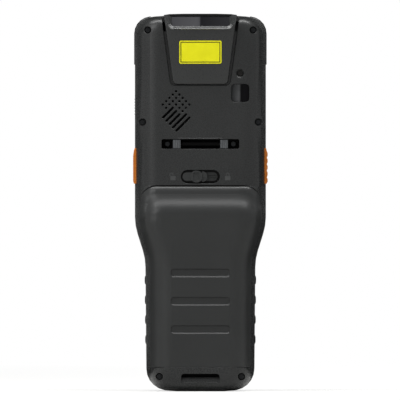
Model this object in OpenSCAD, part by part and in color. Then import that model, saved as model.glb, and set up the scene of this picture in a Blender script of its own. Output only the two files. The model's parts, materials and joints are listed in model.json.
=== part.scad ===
// Handheld barcode data terminal, standing on its foot with the scanner end up.
// X runs across the body, Y from the back (-) to the display (+), Z from foot to scanner.

/* [Body] */
// Width of the display end
body_w = 66; // [62:0.5:74]
// Handle beside the battery, on each side
handle_side = 8.2; // [6.5:0.1:9.5]
// How much narrower the handle is at the foot
handle_taper = 1.1; // [0:0.1:2]
// Depth from the parting line to the upper back
back_depth = 14.5; // [14:0.1:17]
// Depth from the parting line to the battery door
grip_depth = 20.5; // [20:0.1:23]
// Depth from the parting line to the front rim
front_depth = 12.5; // [12.5:0.1:14]
// Moulded wall
wall = 1.8; // [1.4:0.1:2.2]
// Radius of the corners at the scanner end
corner_r = 8.3; // [6:0.1:10]
// Radius of the corners at the foot
foot_corner_r = 11; // [9:0.5:12]
// Width of the flat that the terminal stands on
foot_flat = 24; // [16:1:28]
// Width of the soft rounding along the back
side_round = 13; // [11:0.5:14]
// Radius of the back edge at the scanner end
top_round = 6; // [4:0.5:7]
// Radius of the back edge at the foot
foot_round = 7; // [5:0.5:8]
// Width of the rounding along the front rim
front_round = 4; // [3:0.25:4.5]
// Length over which the handle widens into the body
waist_l = 25; // [22:0.5:28]
// Distance from the end of the waist up to the seam at the latch
waist_drop = 15.7; // [14:0.1:18]

/* [Battery door] */
// Height of the seam at the foot
door_low = 12.1; // [11.5:0.1:14]
// Length of the door beyond the battery bay
door_over = 11.6; // [10.5:0.1:14]
// Door edge behind the outline of the body
door_inset = 2; // [1.6:0.1:2.4]
// Radius of the upper door corners
door_corner_r = 9.5; // [7:0.5:11]
// Length of the slope below the latch
slope_run = 9; // [7:0.5:11]
// How far the crest of the slope falls towards the sides
crest_sag = 4; // [0:0.5:5]
// Skin of the door
door_wall = 1.6; // [1.2:0.1:1.8]
// Gap along the sides and the foot
door_gap = 0.2; // [0.15:0.05:0.3]
// Gap at the latch, which lets the door swing
door_gap_top = 0.4; // [0.35:0.05:0.6]
// Number of finger grooves
groove_count = 3; // [1:1:4]
// Height of one groove
groove_h = 4.4; // [3:0.2:6]
// Width of one groove
groove_w = 30; // [20:1:34]
// Distance between grooves
groove_pitch = 14.2; // [12:0.2:15]
// Depth of the grooves
groove_depth = 0.7; // [0.4:0.1:0.8]

/* [Battery and latch] */
// Battery width
battery_w = 39; // [34:1:40]
// Battery length
battery_l = 67; // [58:1:68]
// Battery thickness
battery_t = 10.6; // [9:0.2:10.8]
// Width of the latch slot
latch_w = 19.6; // [18:0.2:22]
// Height of the latch slot
latch_h = 6.7; // [6:0.1:7]
// Travel of the latch
latch_travel = 6; // [5:0.5:6.5]
// Distance from the door's seam to the latch slot
latch_land = 1.4; // [1.2:0.1:3]

/* [Scanner] */
// Width of the hood at the scanner end
hood_w_high = 36.8; // [34:0.2:39]
// Width of the hood at its lower edge
hood_w_low = 28; // [26:0.2:30]
// Length of the hood
hood_l = 35.7; // [33:0.1:38]
// Rise of the hood above the back at the scanner end
hood_rise = 4; // [3:0.1:4.8]
// Width of the scan window
window_w = 29; // [25:0.5:30]
// Height of the window as seen from behind
window_h = 5.2; // [4.5:0.1:5.6]
// Depth of the slanted window from back to front
window_d = 9.7; // [8:0.1:10.5]
// Width of the blank label
label_w = 21.2; // [16:0.2:23]
// Height of the blank label
label_h = 11.6; // [8:0.2:13]

/* [Camera and speaker] */
// Side of the square camera window
camera_w = 9; // [7:0.2:10]
// Diameter of the flash lens
flash_d = 2.8; // [2:0.1:3.4]
// Diameter of a sound hole
hole_d = 1.2; // [0.8:0.1:1.5]
// Distance between sound holes
hole_pitch = 2.35; // [2.1:0.05:2.5]
// Diameter of the speaker
speaker_d = 20; // [17:0.5:21]
// Distance from the strap pocket to the speaker
sound_gap = 4.1; // [3:0.1:8]
// Distance from the speaker to the hood
hood_gap = 3.4; // [2.4:0.1:8]

/* [Display and keypad] */
// Width of the frame on each side of the display glass
glass_rim = 4.5; // [4:0.25:8]
// Thickness of the display glass
glass_t = 1.4; // [1:0.1:1.5]
// Width of a number key
key_w = 12.4; // [10:0.2:13]
// Height of a number key
key_h = 6.4; // [5:0.2:7]
// Distance between key columns
key_pitch_x = 15.6; // [15:0.1:16]
// Distance between key rows
key_pitch_z = 9.3; // [8.8:0.1:9.4]
// Travel of a key
key_travel = 0.5; // [0.3:0.1:0.6]
// Clearance around a key
key_gap = 0.2; // [0.1:0.05:0.3]

/* [Side keys] */
// Length of a side key
side_key_l = 18; // [14:0.5:20]
// Width of a side key
side_key_w = 4.2; // [3.8:0.2:4.6]
// How far a side key stands proud
side_key_proud = 0.9; // [0.9:0.1:1.6]
// Travel of a side key
side_key_travel = 0.7; // [0.4:0.1:0.8]

/* [Straps and screws] */
// Width of the strap pocket
strap_w = 39.1; // [37:0.1:42]
// Height of the strap pocket
strap_h = 4.9; // [4.5:0.1:5.5]
// Distance from the latch slot to the strap pocket
strap_gap = 10.6; // [9:0.1:14]
// Diameter of the strap rod
strap_rod_d = 1.8; // [1.4:0.1:2]
// Diameter of a screw recess
recess_d = 3.6; // [3.4:0.1:4]
// Diameter of a screw shank
screw_d = 1.9; // [1.6:0.1:2]

/* [Hidden] */
$fn = 32;

slip = 0.1;                                       // fit between a fixed piece and its seat
over = 1;                                         // how far a cut runs past a face
part_y = (grip_depth - front_depth) / 2;          // parting line, with the depth centred on Y = 0
back_y = part_y - back_depth;
grip_y = part_y - grip_depth;
front_y = part_y + front_depth;
half_w = body_w / 2;
handle_w = battery_w + 2 * handle_side;

// Heights, stacked from the foot up
bay_low = door_low + 8.5;
bay_gap = 0.3;
contact_l = 3.4;
bay_high = bay_low + battery_l + 2 * bay_gap + contact_l;
door_high = bay_high + door_over;
waist_high = door_high - waist_drop;
waist_low = waist_high - waist_l;
latch_z = door_high + latch_land + latch_h / 2;
strap_z = latch_z + latch_h / 2 + strap_gap + strap_h / 2;
speaker_z = strap_z + strap_h / 2 + sound_gap + speaker_d / 2;
hood_low = speaker_z + speaker_d / 2 + hood_gap;
body_h = hood_low + hood_l;
hood_step = 0.5;                                  // the hood stands this much above the housing
shell_h = body_h - hood_step;
bow_r = 280;                                      // gentle bow of the scanner end
foot_lift = 0.2;                                  // the foot corners start this much above the flat
charcoal = "#383a3c";
dark = "#1d1e20";
orange = "#e6791f";

// ---- Form of the body: rings of points, each with the same count, joined by a loft ----

function blend(t) = (1 - cos(180 * t)) / 2;
function fillet(r, h) = h < r ? r - sqrt(r * r - (r - h) * (r - h)) : 0;
function arc(cx, cz, r, a0, a1, n) =
    [for (i = [0:n]) let (a = a0 + (a1 - a0) * i / n) [cx + r * cos(a), cz + r * sin(a)]];

// Half width of the body at height z
function handle_half(z) = handle_w / 2 - handle_taper / 2 * (waist_low - z) / waist_low;
function half_at(z) = z >= waist_high ? half_w
    : z <= waist_low ? handle_half(z)
    : handle_half(waist_low)
        + (half_w - handle_half(waist_low)) * blend((z - waist_low) / (waist_high - waist_low));

// Slope at the top of the door: shares of its length and of its rise, gentle and then steep
slope_steps = [[0.03, 0.1], [0.12, 0.17], [0.45, 0.36], [0.72, 0.53], [0.8, 0.61], [0.93, 0.85],
    [1, 0.95], [1.1, 1]];
crest_low = door_high - slope_run * slope_steps[7][0];

// Depth of the back below the parting line at height z
function depth_at(z) = lookup(z, concat([[door_high + 0.02, back_depth]],
    [for (p = slope_steps) [door_high - slope_run * p[0],
        back_depth + (grip_depth - back_depth) * p[1]]]));

// How much lower a point of the slope lies near the sides, where the rounding is at angle a
function sag_at(a, z) = crest_sag * cos(a) * lookup(z,
    [[waist_high, 0], [crest_low, 1], [door_high, 0]]);

// Heights at which the sides carry a point
side_heights = concat([door_high + 0.02],
    [for (p = slope_steps) door_high - slope_run * p[0]],
    [for (i = [0:6]) waist_high + (waist_low - waist_high) * i / 6]);

// Right half of the outline from top to foot, drawn in by s at the sides, t above and b below
function half_outline(s, t, b) = let (
        rc = max(corner_r - t, 2),
        bow_z = shell_h - bow_r,
        cx = half_w - s - rc,
        cz = bow_z + sqrt(pow(bow_r - t - rc, 2) - cx * cx),
        rf = max(foot_corner_r - b, 3),
        fx = half_at(foot_corner_r) - s - rf,
        fz = rf + foot_lift + b)
    concat([for (f = [0.2, 0.6]) [cx * f, bow_z + sqrt(pow(bow_r - t, 2) - pow(cx * f, 2))]],
        arc(cx, cz, rc, atan2(cz - bow_z, cx), 0, 5),
        [for (z = side_heights) [half_at(z) - s, z]],
        arc(fx, fz, rf, 0, -80, 5),
        [[min(foot_flat / 2, fx - 0.4), b]]);

function mirrored(half) =
    concat(half, [for (i = [len(half) - 1:-1:0]) [-half[i][0], half[i][1]]]);

// Ring of the back at angle a of its rounding, and of the front at angle a, both inside skin
function back_ring(a, skin) = let (
        h = (1 - sin(a)),
        s = (side_round - skin / 2) * (1 - cos(a)) + skin,
        t = fillet(top_round, back_depth * h) + skin,
        b = fillet(foot_round, grip_depth * h) + skin)
    [for (p = mirrored(half_outline(s, t, b)))
        [p[0], part_y - (depth_at(p[1]) - skin) * sin(a), p[1] - sag_at(a, p[1])]];
function front_ring(a, skin, lid) = let (
        h = front_depth * (1 - sin(a)),
        s = front_round * (1 - cos(a)) + skin,
        e = fillet(front_round, h) + skin)
    [for (p = mirrored(half_outline(s, e, fillet(2.5, h) + skin)))
        [p[0], part_y + (front_depth - lid) * sin(a), p[1]]];

// Solid through rings that run from +Y to -Y, each mirrored about the middle
module loft(rings) {
    n = len(rings[0]);
    last = len(rings) - 1;
    skin_faces = [for (k = [0:last - 1], i = [0:n - 1]) let (j = (i + 1) % n)
        each [[(k + 1) * n + i, k * n + i, k * n + j],
              [(k + 1) * n + i, k * n + j, (k + 1) * n + j]]];
    near_cap = [for (i = [0:n / 2 - 2]) each [[i, n - 1 - i, n - 2 - i], [i, n - 2 - i, i + 1]]];
    far_cap = [for (i = [0:n / 2 - 2]) let (o = last * n)
        each [[o + i, o + i + 1, o + n - 2 - i], [o + i, o + n - 2 - i, o + n - 1 - i]]];
    polyhedron([for (r = rings) each r], concat(skin_faces, near_cap, far_cap), convexity = 8);
}

function moved(ring, dy) = [for (p = ring) [p[0], p[1] + dy, p[2]]];

module back_form(skin = 0, run = 0) {
    first = back_ring(0, skin);
    loft(concat(run > 0 ? [moved(first, run)] : [],
        [for (a = [0, 18, 36, 52, 66, 78, 90]) back_ring(a, skin)]));
}

module front_form(skin = 0, lid = 0, run = 0) {
    first = front_ring(0, skin, lid);
    loft(concat([for (a = [90, 68, 46, 23, 0]) front_ring(a, skin, lid)],
        run > 0 ? [moved(first, -run)] : []));
}

// ---- Small helpers ----

// Extrudes a shape drawn in X and Z from y0 to y1
module slab(y0, y1) {
    translate([0, y1, 0]) rotate([90, 0, 0]) linear_extrude(y1 - y0) children();
}

// Extrudes a shape drawn in Y and Z across the body, centred
module across(w) {
    translate([-w / 2, 0, 0]) rotate([90, 0, 90]) linear_extrude(w) children();
}

// Round bar along Y at x and z
module rod_y(x, z, d, y0, y1) {
    translate([x, y1, z]) rotate([90, 0, 0]) cylinder(d = d, h = y1 - y0);
}

// Box between two corners
module block(a, b) {
    translate(a) cube([b[0] - a[0], b[1] - a[1], b[2] - a[2]]);
}

// Flat rectangle with true round corners, centred
module round_rect(w, h, r) {
    square([w - 2 * r, h], center = true);
    square([w, h - 2 * r], center = true);
    for (x = [-1, 1], z = [-1, 1]) translate([x * (w / 2 - r), z * (h / 2 - r)]) circle(r);
}

module outline(s, t, b) {
    polygon(mirrored(half_outline(s, t, b)));
}

module mirror_x() {
    children();
    mirror([1, 0, 0]) children();
}

// ---- Places that several pieces share ----

// Screws: x, z and the depth at which the head seats
screw_spots = [[half_w - 6.5, body_h - 8.3, back_y + 5.5],
    [half_w - 3.9, strap_z + 11.05, back_y + 7.2],
    [handle_w / 2 - 7.1, door_low - 4.6, grip_y + 6.8]];
head_d = recess_d - 0.3;
head_t = 1.3;
boss_d = 5.2;
insert_d = 3.3;
insert_l = 4.6;

// Battery bay
ledge_y = part_y - grip_depth * sin(acos(1 - door_inset / side_round));
battery_y0 = grip_y + door_wall + 0.7;
battery_y1 = battery_y0 + battery_t;
bay_y = battery_y1 + 0.15;
bay_floor = 1.2;

// Latch
latch_skin = 1.2;
latch_plate_t = 1;
thumb_l = latch_w - latch_travel - 0.5;
thumb_x = -latch_w / 2 + 0.25 + thumb_l / 2;
plate_x = latch_w / 2 + latch_travel + 0.4;
bolt_w = 6;
bolt_x = -5.2;
bolt_t = 1;
bolt_reach = 2.6;
plate_y = back_y + latch_skin + slip;
bolt_y = plate_y + latch_plate_t;
hook_y = bolt_y + bolt_t + 0.25;
hook_t = 1.1;

// Door: tabs at the foot, hook at the latch and finger grooves
tab_x = 15;
tab_w = 7;
tab_t = 1.2;
tab_l = 2.4;
tab_y = grip_y + 4;
hook_x = bolt_x + bolt_w / 2 + 0.4;
hook_w = 5;
groove_top = waist_low - 0.7;
scoop_w = 19.4;
scoop_z = door_low - 3.2;

// Strap pocket, hood, camera, speaker and side keys
strap_floor = back_y + 5.4;
post_x = 10;
post_w = 3.8;
foot_t = 1.3;
foot_x = (post_x + post_w + strap_w / 2 - 0.4) / 2 + 0.1;
groove_gap = 1.4;
low_gap = 0.6;
hood_taper = (hood_w_high - hood_w_low) / 2 / (hood_l - 1.7);
hood_corner_r = 2.5;
hood_cx = hood_w_low / 2 - hood_corner_r + 0.6 * hood_taper;
hood_cz = hood_low + hood_corner_r;
hood_cap_z = body_h - 5;
flange_y = back_y + 1.9;
flange_t = 1.1;
window_rim = 1.6;
window_low = body_h - window_rim - window_h;
window_l = norm([window_d, window_h]);
window_a = atan2(window_h, window_d);
window_t = 1.2;
cheek_h = 1.6;
lip_t = 0.8;
cam_x = half_w - 13;
cam_z = hood_low - 4.3;
cam_y = back_y + 1.1;
flash_z = cam_z + 9.9;
speaker_x = -speaker_d / 2 - 2.3;
grille_x = speaker_x - 2.79 * hole_pitch;
grille_z = speaker_z + 1.4 * hole_pitch;
side_key_z = door_high + 10.2;
side_key_y = part_y - key_gap - side_key_w / 2;
key_flange = 1;
key_flange_x = half_w - 3.4 - key_flange;

// Port, contacts, seal, rubber bumpers and grips
port_z = strap_z + 10.65;
port_l = 15;
port_w = 6.6;
port_t = 1.4;
port_y = part_y + 4.6;
contact_y = part_y + 3.4;
contact_pitch = 2.6;
seal_t = 0.8;
status_x = 13;
bumper_proud = 0.4;
bumper_deep = 0.9;
grip_low = 21;
grip_pitch = 10;
grip_high = grip_low + 4.2 * grip_pitch;
grip_t = 0.8;

// Display and keypad stack, from the rim inwards
glass_w = body_w - 2 * glass_rim;
glass_low = waist_high - 1.5;
glass_high = body_h - 13;
glass_y = front_y - 0.4;
glass_ledge = glass_y - glass_t;
panel_w = glass_w - 5.3;
panel_y = glass_ledge - 0.1;
panel_t = 2.8;
front_wall = 3;
inner_y = front_y - front_wall;
plate_top = front_y - 1.2;
cap_y = front_y - 0.3;
flange_h = 0.9;
key_seat = inner_y - 0.05;
membrane_y = key_seat - flange_h - key_travel - 0.1;
membrane_t = 1;
keyboard_t = 1;
frame_t = 1.3;
keyboard_y = membrane_y - membrane_t;
frame_low_y = keyboard_y - keyboard_t - 0.05;
frame_high_y = panel_y - panel_t - 0.05;
board_y = frame_low_y - frame_t - 1.4;
board_t = 1;
frame_w = panel_w - 0.1;
board_w = frame_w - 1.6;
row_z = 19.6;
nav_z = row_z + 4 * key_pitch_z + 1.2;
scan_z = nav_z + 12.4;
scan_w = 20;
scan_h = 12;
soft_w = 10;
soft_h = 9;

// ---- Housings ----

module screw_columns(d, y0, y1) {
    for (s = screw_spots, m = [-1, 1]) rod_y(m * s[0], s[1], d, y0 == undef ? s[2] : y0, y1);
}

// Hood seen from behind, grown by g
module hood_plan(g, top = body_h + 5) {
    polygon(mirrored(concat([[hood_w_low / 2 + hood_taper * (top - hood_low - 1.7) + g, top]],
        arc(hood_cx, hood_cz, hood_corner_r + g, 0, -90, 5))));
}

// Depth of the hood's face at height z
function hood_face(z) = back_y - 0.5 - (hood_rise - 0.5) * (z - hood_low) / (window_low - hood_low);
function hood_ring(s, dy, flat_y) = let (
        top_x = hood_w_high / 2 - s,
        half = concat([[top_x * 0.45, body_h - 0.06 - s], [top_x * 0.85, body_h - 0.25 - s],
                [top_x, body_h - 0.7 - s], [top_x - hood_taper * (body_h - window_low), window_low - s]],
            arc(hood_cx, hood_cz, hood_corner_r - s, 0, -90, 5)))
    [for (p = mirrored(half))
        [p[0], flat_y == undef ? hood_face(min(p[1], window_low)) + dy : flat_y, p[1]]];

module sound_holes(y0, y1) {
    for (j = [0:6]) {
        u0 = j < 2 ? 0 : 2;
        if (j < 5) for (u = [u0:4])
            rod_y(grille_x + hole_pitch * (u + j) / sqrt(2), grille_z + hole_pitch * (u - j) / sqrt(2),
                hole_d, y0, y1);
        if (j > 1) let (u1 = j < 5 ? 1 : 2, mid = (u1 - 1.9) / 2, len = (u1 + 1.9) * hole_pitch)
            translate([grille_x + hole_pitch * (mid + j) / sqrt(2), 0,
                grille_z + hole_pitch * (mid - j) / sqrt(2)])
                rotate([0, -45, 0]) slab(y0, y1) round_rect(len + hole_d, hole_d, hole_d * 0.499);
    }
}

// Door seen from behind: sides inside the outline, rounded corners at the latch
function door_half(g, top_gap, low) = let (
        r = door_corner_r,
        top = door_high + top_gap,
        x = half_w - door_inset + g)
    concat([[2, top]], arc(x - r, top - r, r, 90, 0, 6),
        [for (z = side_heights) if (z < top - r - 1) [half_at(z) - door_inset + g, z]],
        [[half_at(low) - door_inset + g, low]]);
module door_plan(g = 0, top_gap = 0, low = door_low + door_gap) {
    polygon(mirrored(door_half(g, top_gap, low)));
}

module side_key_hole(g) {
    z = side_key_l / 2 + g;
    y = side_key_w / 2 + g;
    block([-half_w - over, side_key_y - y, side_key_z - z], [-half_w + 6, part_y + over, side_key_z + z]);
    block([-key_flange_x - key_flange - 0.1, side_key_y - y - 0.7, side_key_z - z - 0.9],
        [-key_flange_x + 3, part_y + over, side_key_z + z + 0.9]);
}

module rear_housing() {
    color(charcoal) difference() {
        union() {
            difference() {
                back_form();
                intersection() {
                    back_form(wall, over);
                    block([-half_w, back_y, door_high + 2.2], [half_w, part_y + 2 * over, body_h]);
                }
                slab(bay_y + bay_floor, part_y + over) outline(3.2, 3.2, 3.2);
            }
            intersection() {
                back_form();
                union() {
                    screw_columns(boss_d, undef, part_y);
                    block([-strap_w / 2 - 1.4, back_y + 0.5, strap_z - strap_h / 2 - 1.3],
                        [strap_w / 2 + 1.4, strap_floor + 1.3, strap_z + strap_h / 2 + 1.3]);
                    rod_y(speaker_x, speaker_z, speaker_d + 2.8, back_y + 0.5, back_y + 5);
                }
            }
        }
        // battery bay, door seat and the slots that the door's tabs hook into
        slab(grip_y - over, ledge_y) door_plan(door_gap, door_gap_top, door_low);
        block([-battery_w / 2 - bay_gap, grip_y, bay_low], [battery_w / 2 + bay_gap, bay_y, bay_high]);
        mirror_x() block([tab_x - tab_w / 2 - 0.4, tab_y - 0.3, door_low - tab_l - 0.4],
            [tab_x + tab_w / 2 + 0.4, tab_y + tab_t + 1.2, door_low + over]);
        block([hook_x - 0.5, ledge_y - over, door_high - 4.5],
            [hook_x + hook_w + 2.7, hook_y + hook_t + 0.4, door_high + door_gap_top]);
        // latch
        slab(back_y - over, back_y + 3) translate([0, latch_z])
            round_rect(latch_w, latch_h, latch_h * 0.499);
        block([-plate_x - 0.4, back_y + latch_skin, latch_z - latch_h / 2 + 0.1],
            [plate_x + 0.4, bolt_y + bolt_t + 1, latch_z + latch_h / 2 + 1.6]);
        block([bolt_x - bolt_w / 2 - 0.4, back_y + latch_skin + 0.6, door_high - bolt_reach - 0.6],
            [bolt_x + bolt_w / 2 + latch_travel + 0.4, bolt_y + bolt_t + 0.2, latch_z]);
        // strap pocket above and strap scoop at the foot
        slab(back_y - over, strap_floor) translate([0, strap_z]) round_rect(strap_w, strap_h, 0.9);
        mirror_x() rod_y(foot_x, strap_z, screw_d - 0.4, strap_floor - over, strap_floor + 1);
        intersection() {
            across(scoop_w) polygon([[grip_y - over, scoop_z], [grip_y + 4.4, scoop_z],
                [grip_y + 4.4, scoop_z - 1.7], [grip_y + 2.2, scoop_z - 1.7],
                [grip_y + 0.8, scoop_z - 4.4], [grip_y - over, scoop_z - 4.8]]);
            slab(grip_y - 2 * over, grip_y + 5) translate([0, scoop_z - 10])
                round_rect(scoop_w, 20, 1.6);
        }
        // scanner hood
        slab(back_y - 8, flange_y + flange_t + over) intersection() {
            hood_plan(groove_gap);
            translate([-half_w, hood_low - low_gap]) square([body_w, hood_l + 5]);
        }
        slab(back_y - 8, part_y + over) intersection() {
            hood_plan(slip);
            translate([-half_w, hood_cap_z]) square([body_w, 30]);
        }
        // camera, flash, speaker
        slab(back_y - over, back_y + 4) translate([cam_x, cam_z])
            round_rect(camera_w + 0.2, camera_w + 0.2, 2);
        rod_y(cam_x, flash_z, flash_d + 0.2, back_y - over, back_y + 4);
        translate([cam_x, back_y - 0.01, flash_z]) rotate([-90, 0, 0])
            cylinder(d1 = flash_d + 2, d2 = flash_d + 0.2, h = 0.9);
        sound_holes(back_y - over, back_y + 3);
        rod_y(speaker_x, speaker_z, speaker_d + 0.3, back_y + wall, back_y + 6);
        // screws
        for (s = screw_spots, m = [-1, 1]) {
            rod_y(m * s[0], s[1], recess_d, grip_y - over, s[2]);
            rod_y(m * s[0], s[1], screw_d + 0.2, s[2] - over, part_y + over);
        }
        mirror_x() side_key_hole(key_gap);
    }
}

module display_recess() {
    translate([0, (glass_low + glass_high) / 2])
        round_rect(glass_w + 2 * slip, glass_high - glass_low + 2 * slip, 3);
}

// Places of the keys: name, x, z, width, height. The user's left is at +X.
number_keys = ["key_1", "key_2", "key_3", "key_4", "key_5", "key_6", "key_7", "key_8", "key_9",
    "key_star", "key_0", "key_hash"];
nav_h = key_h + 0.6;
soft_x = key_pitch_x + 2.2;
key_table = concat(
    [for (i = [0:11]) [number_keys[i], (1 - i % 3) * key_pitch_x,
        row_z + (3 - floor(i / 3)) * key_pitch_z, key_w, key_h]],
    [["key_back", key_pitch_x, nav_z, key_w, nav_h], ["key_enter", 0, nav_z, key_w, nav_h],
     ["key_power", -key_pitch_x, nav_z, key_w, nav_h],
     ["key_soft_left", soft_x, scan_z, soft_w, soft_h], ["key_scan", 0, scan_z, scan_w, scan_h],
     ["key_soft_right", -soft_x, scan_z, soft_w, soft_h]]);
function key_radius(k) = k[0] == "key_scan" ? scan_h * 0.499 : 2;

module front_housing() {
    color(charcoal) difference() {
        union() {
            difference() {
                front_form();
                intersection() {
                    front_form(wall, 0, over);
                    block([-half_w, part_y - 2 * over, 0], [half_w, inner_y, body_h]);
                }
            }
            intersection() {
                front_form();
                screw_columns(boss_d, part_y, inner_y + 0.5);
            }
        }
        // display glass on its ledge
        slab(glass_ledge, front_y + over) display_recess();
        slab(inner_y - over, front_y) translate([0, (glass_low + glass_high) / 2])
            round_rect(panel_w + 0.4, glass_high - glass_low - 6, 1.5);
        // keypad: a shallow field with one hole for each key
        slab(plate_top, front_y + over) intersection() {
            outline(4.6, 4.6, 6);
            translate([-half_w, row_z - key_h / 2 - 3])
                square([body_w, scan_z + 8.2 - row_z + key_h / 2 + 3]);
        }
        for (k = key_table) slab(inner_y - over, front_y) translate([k[1], k[2]])
            round_rect(k[3] + 2 * key_gap, k[4] + 2 * key_gap, key_radius(k));
        // earpiece slot and status light
        slab(inner_y - over, front_y + over) translate([0, glass_high + 4.6]) round_rect(12, 1.4, 0.69);
        rod_y(status_x, glass_high + 4.6, 1.7, inner_y - over, front_y + over);
        // inserts, seal groove, rubber pads
        for (s = screw_spots, m = [-1, 1]) {
            rod_y(m * s[0], s[1], insert_d + 0.1, part_y - over, part_y + insert_l + 0.4);
        }
        slab(part_y - over, part_y + seal_t) seal_plan(0.05);
        bumper_band(0.05);
        grip_pads(0.05);
        // port recess on the left side
        block([-half_w - over, port_y - port_w / 2, port_z],
            [-half_w + port_t + 0.1, port_y + port_w / 2, port_z + port_l]);
        translate([-half_w - over, port_y, port_z + port_l / 2]) rotate([0, 90, 0])
            linear_extrude(8) round_rect(9.4, 3.6, 1.7);
        // charging contacts in the foot
        for (i = [-3:3]) translate([i * contact_pitch, contact_y, -over]) cylinder(d = 1.9, h = 8);
    }
}

module seal_plan(g) {
    difference() {
        outline(0.9 - g, 0.9 - g, 0.9 - g);
        outline(1.5 + g, 1.5 + g, 1.5 + g);
    }
}

module housing_seal() {
    color("#2a2a2a") slab(part_y, part_y + seal_t - 0.05) seal_plan(0);
}

// Rubber bumpers around the two corners at the scanner end
module bumper_band(g) {
    slab(part_y + 2 - g, part_y + 7 + g) intersection() {
        difference() {
            outline(-bumper_proud, -bumper_proud, 0);
            outline(bumper_deep + g, bumper_deep + g, 0);
        }
        for (m = [-1, 1]) translate([m * (half_w - 2.6), body_h - 10])
            square([10.8 + 2 * g, 31 + 2 * g], center = true);
    }
}

module corner_bumpers() {
    color("#2b2c2e") bumper_band(0);
}

// Rubber grip strips with four raised pads on each side of the handle
module grip_pads(g) {
    low_x = half_at(grip_low);
    high_x = half_at(grip_high);
    slab(part_y + 1.8 - g, part_y + 7.2 + g) mirror_x()
        polygon([[low_x + 2 * g, grip_low - g], [high_x + 2 * g, grip_high + g],
            [high_x - grip_t - g, grip_high + g], [low_x - grip_t - g, grip_low - g]]);
}

module side_grips() {
    color("#2b2c2e") {
        grip_pads(0);
        slab(part_y + 1.8, part_y + 7.2) mirror_x() for (i = [0:3])
            let (z = grip_low + 4.9 + i * grip_pitch, x = half_at(z))
                polygon([[x - 0.3, z - 2.4], [x + 0.25, z - 2], [x + 0.45, z - 1],
                    [x + 0.45, z + 1], [x + 0.25, z + 2], [x - 0.3, z + 2.4]]);
    }
}

// ---- Scanner ----

// Puts a shape lying in X and Y onto the slanted plane of the scan window, at its lower back edge
module on_window() {
    translate([0, hood_face(window_low) + lip_t, window_low]) rotate([window_a, 0, 0]) children();
}

// The same plane as a function: distance along the slope and height above it, as Y and Z
function window_point(p) = [hood_face(window_low) + lip_t + p[0] * cos(window_a) - p[1] * sin(window_a),
    window_low + p[0] * sin(window_a) + p[1] * cos(window_a)];

module scanner_hood() {
    seat_x = window_w / 2 + slip;
    seat_side = [[seat_x, -window_t], [seat_x, 0], [seat_x + 1.3 * 8, 8]];
    lip = window_point([-slip, 0.1]);
    color(charcoal) difference() {
        union() {
            intersection() {
                loft([hood_ring(0, 0, part_y - slip), hood_ring(0, 0.9), hood_ring(0.35, 0.25),
                    hood_ring(0.9, 0)]);
                union() {
                    block([-half_w, back_y - 8, hood_low - 1], [half_w, flange_y + flange_t, body_h]);
                    block([-half_w, back_y - 8, hood_cap_z + slip], [half_w, part_y, body_h]);
                }
            }
            // flange that closes the groove around the hood
            slab(flange_y, flange_y + flange_t) intersection() {
                hood_plan(groove_gap - slip);
                translate([-half_w, hood_low - low_gap + slip]) square([body_w, hood_l - top_round - 2.5]);
            }
        }
        // slanted seat of the window, with a bevelled lip below it and flared cheeks beside it
        intersection() {
            across(body_w) polygon(concat([for (p = [[window_l + slip, 3], [window_l + slip, -window_t],
                [-slip, -window_t]]) window_point(p)], [lip, lip - [2 * lip_t, 2 * lip_t],
                lip + [-2 * lip_t, 12], lip + [30, 12]]));
            on_window() translate([0, window_l + 1, 0]) rotate([90, 0, 0]) linear_extrude(window_l + 6)
                polygon([for (m = [-1, 1], p = m > 0 ? seat_side : [for (i = [2:-1:0]) seat_side[i]])
                    [m * p[0], p[1]]]);
        }
        // the cheeks end in a plane above the window
        across(body_w) polygon([for (p = [[-8, cheek_h], [30, cheek_h], [30, 30], [-8, 30]])
            window_point(p)]);
        // chamber for the scan engine, open to the window
        across(window_w - 5) polygon([[part_y + over, hood_cap_z - 4], [back_y + 0.6, hood_low + 4],
            [hood_face(hood_low + 12) + wall, hood_low + 12],
            [hood_face(window_low - 4) + wall, window_low - 4],
            window_point([1.2, -window_t - 0.8]), window_point([1.2, over]),
            window_point([window_l - 1.2, over]), window_point([window_l - 1.2, -window_t - 1.4]),
            [part_y + over, window_low + 1.2]]);
    }
}

module scan_window() {
    color("#16171b") on_window() translate([-window_w / 2, 0, -window_t + 0.05])
        cube([window_w, norm([window_d, window_h]), window_t]);
}

// Scan engine: a block with its lens barrel turned up to the window
module scan_engine() {
    w = window_w - 8;
    d = 9;
    y = hood_face(hood_low + 12) + wall + 0.6;
    z = window_low - 21;
    color("#3a3f48") {
        block([-w / 2, y, z], [w / 2, y + d, z + 15]);
        for (x = [-5, 5]) translate([x, y + d / 2, z + 15]) cylinder(d = 6, h = 2.4);
    }
}

// Blank yellow label on the sloping face of the hood
module blank_label() {
    slope = atan2(hood_rise - 0.5, window_low - hood_low);
    z = hood_low + 16.2;
    color("#f7f01c") translate([0, hood_face(z), z]) rotate([slope, 0, 0])
        slab(-0.2, -0.02) round_rect(label_w, label_h, 0.8);
}

// ---- Camera, flash and sound ----

module camera_window() {
    color("#101114") slab(cam_y, cam_y + 1.1) translate([cam_x, cam_z]) round_rect(camera_w, camera_w, 1.9);
}

module camera_module() {
    color("#2b2b30") {
        slab(cam_y + 3.4, cam_y + 6.4) translate([cam_x, cam_z]) square(camera_w - 0.6, center = true);
        rod_y(cam_x, cam_z, 6.4, cam_y + 1.15, cam_y + 3.4);
    }
}

module flash_lens() {
    color("#f4f1de") rod_y(cam_x, flash_z, flash_d, back_y + 0.6, back_y + 3.2);
}

module speaker_mesh() {
    color("#141414") rod_y(speaker_x, speaker_z, speaker_d, back_y + wall + 0.02, back_y + wall + 0.3);
}

module speaker() {
    y = back_y + wall + 0.35;
    color("#4a4d52") {
        rod_y(speaker_x, speaker_z, speaker_d, y, y + 2.2);
        rod_y(speaker_x, speaker_z, speaker_d * 0.6, y + 2.2, y + 4);
    }
}

// ---- Fasteners ----

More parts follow.
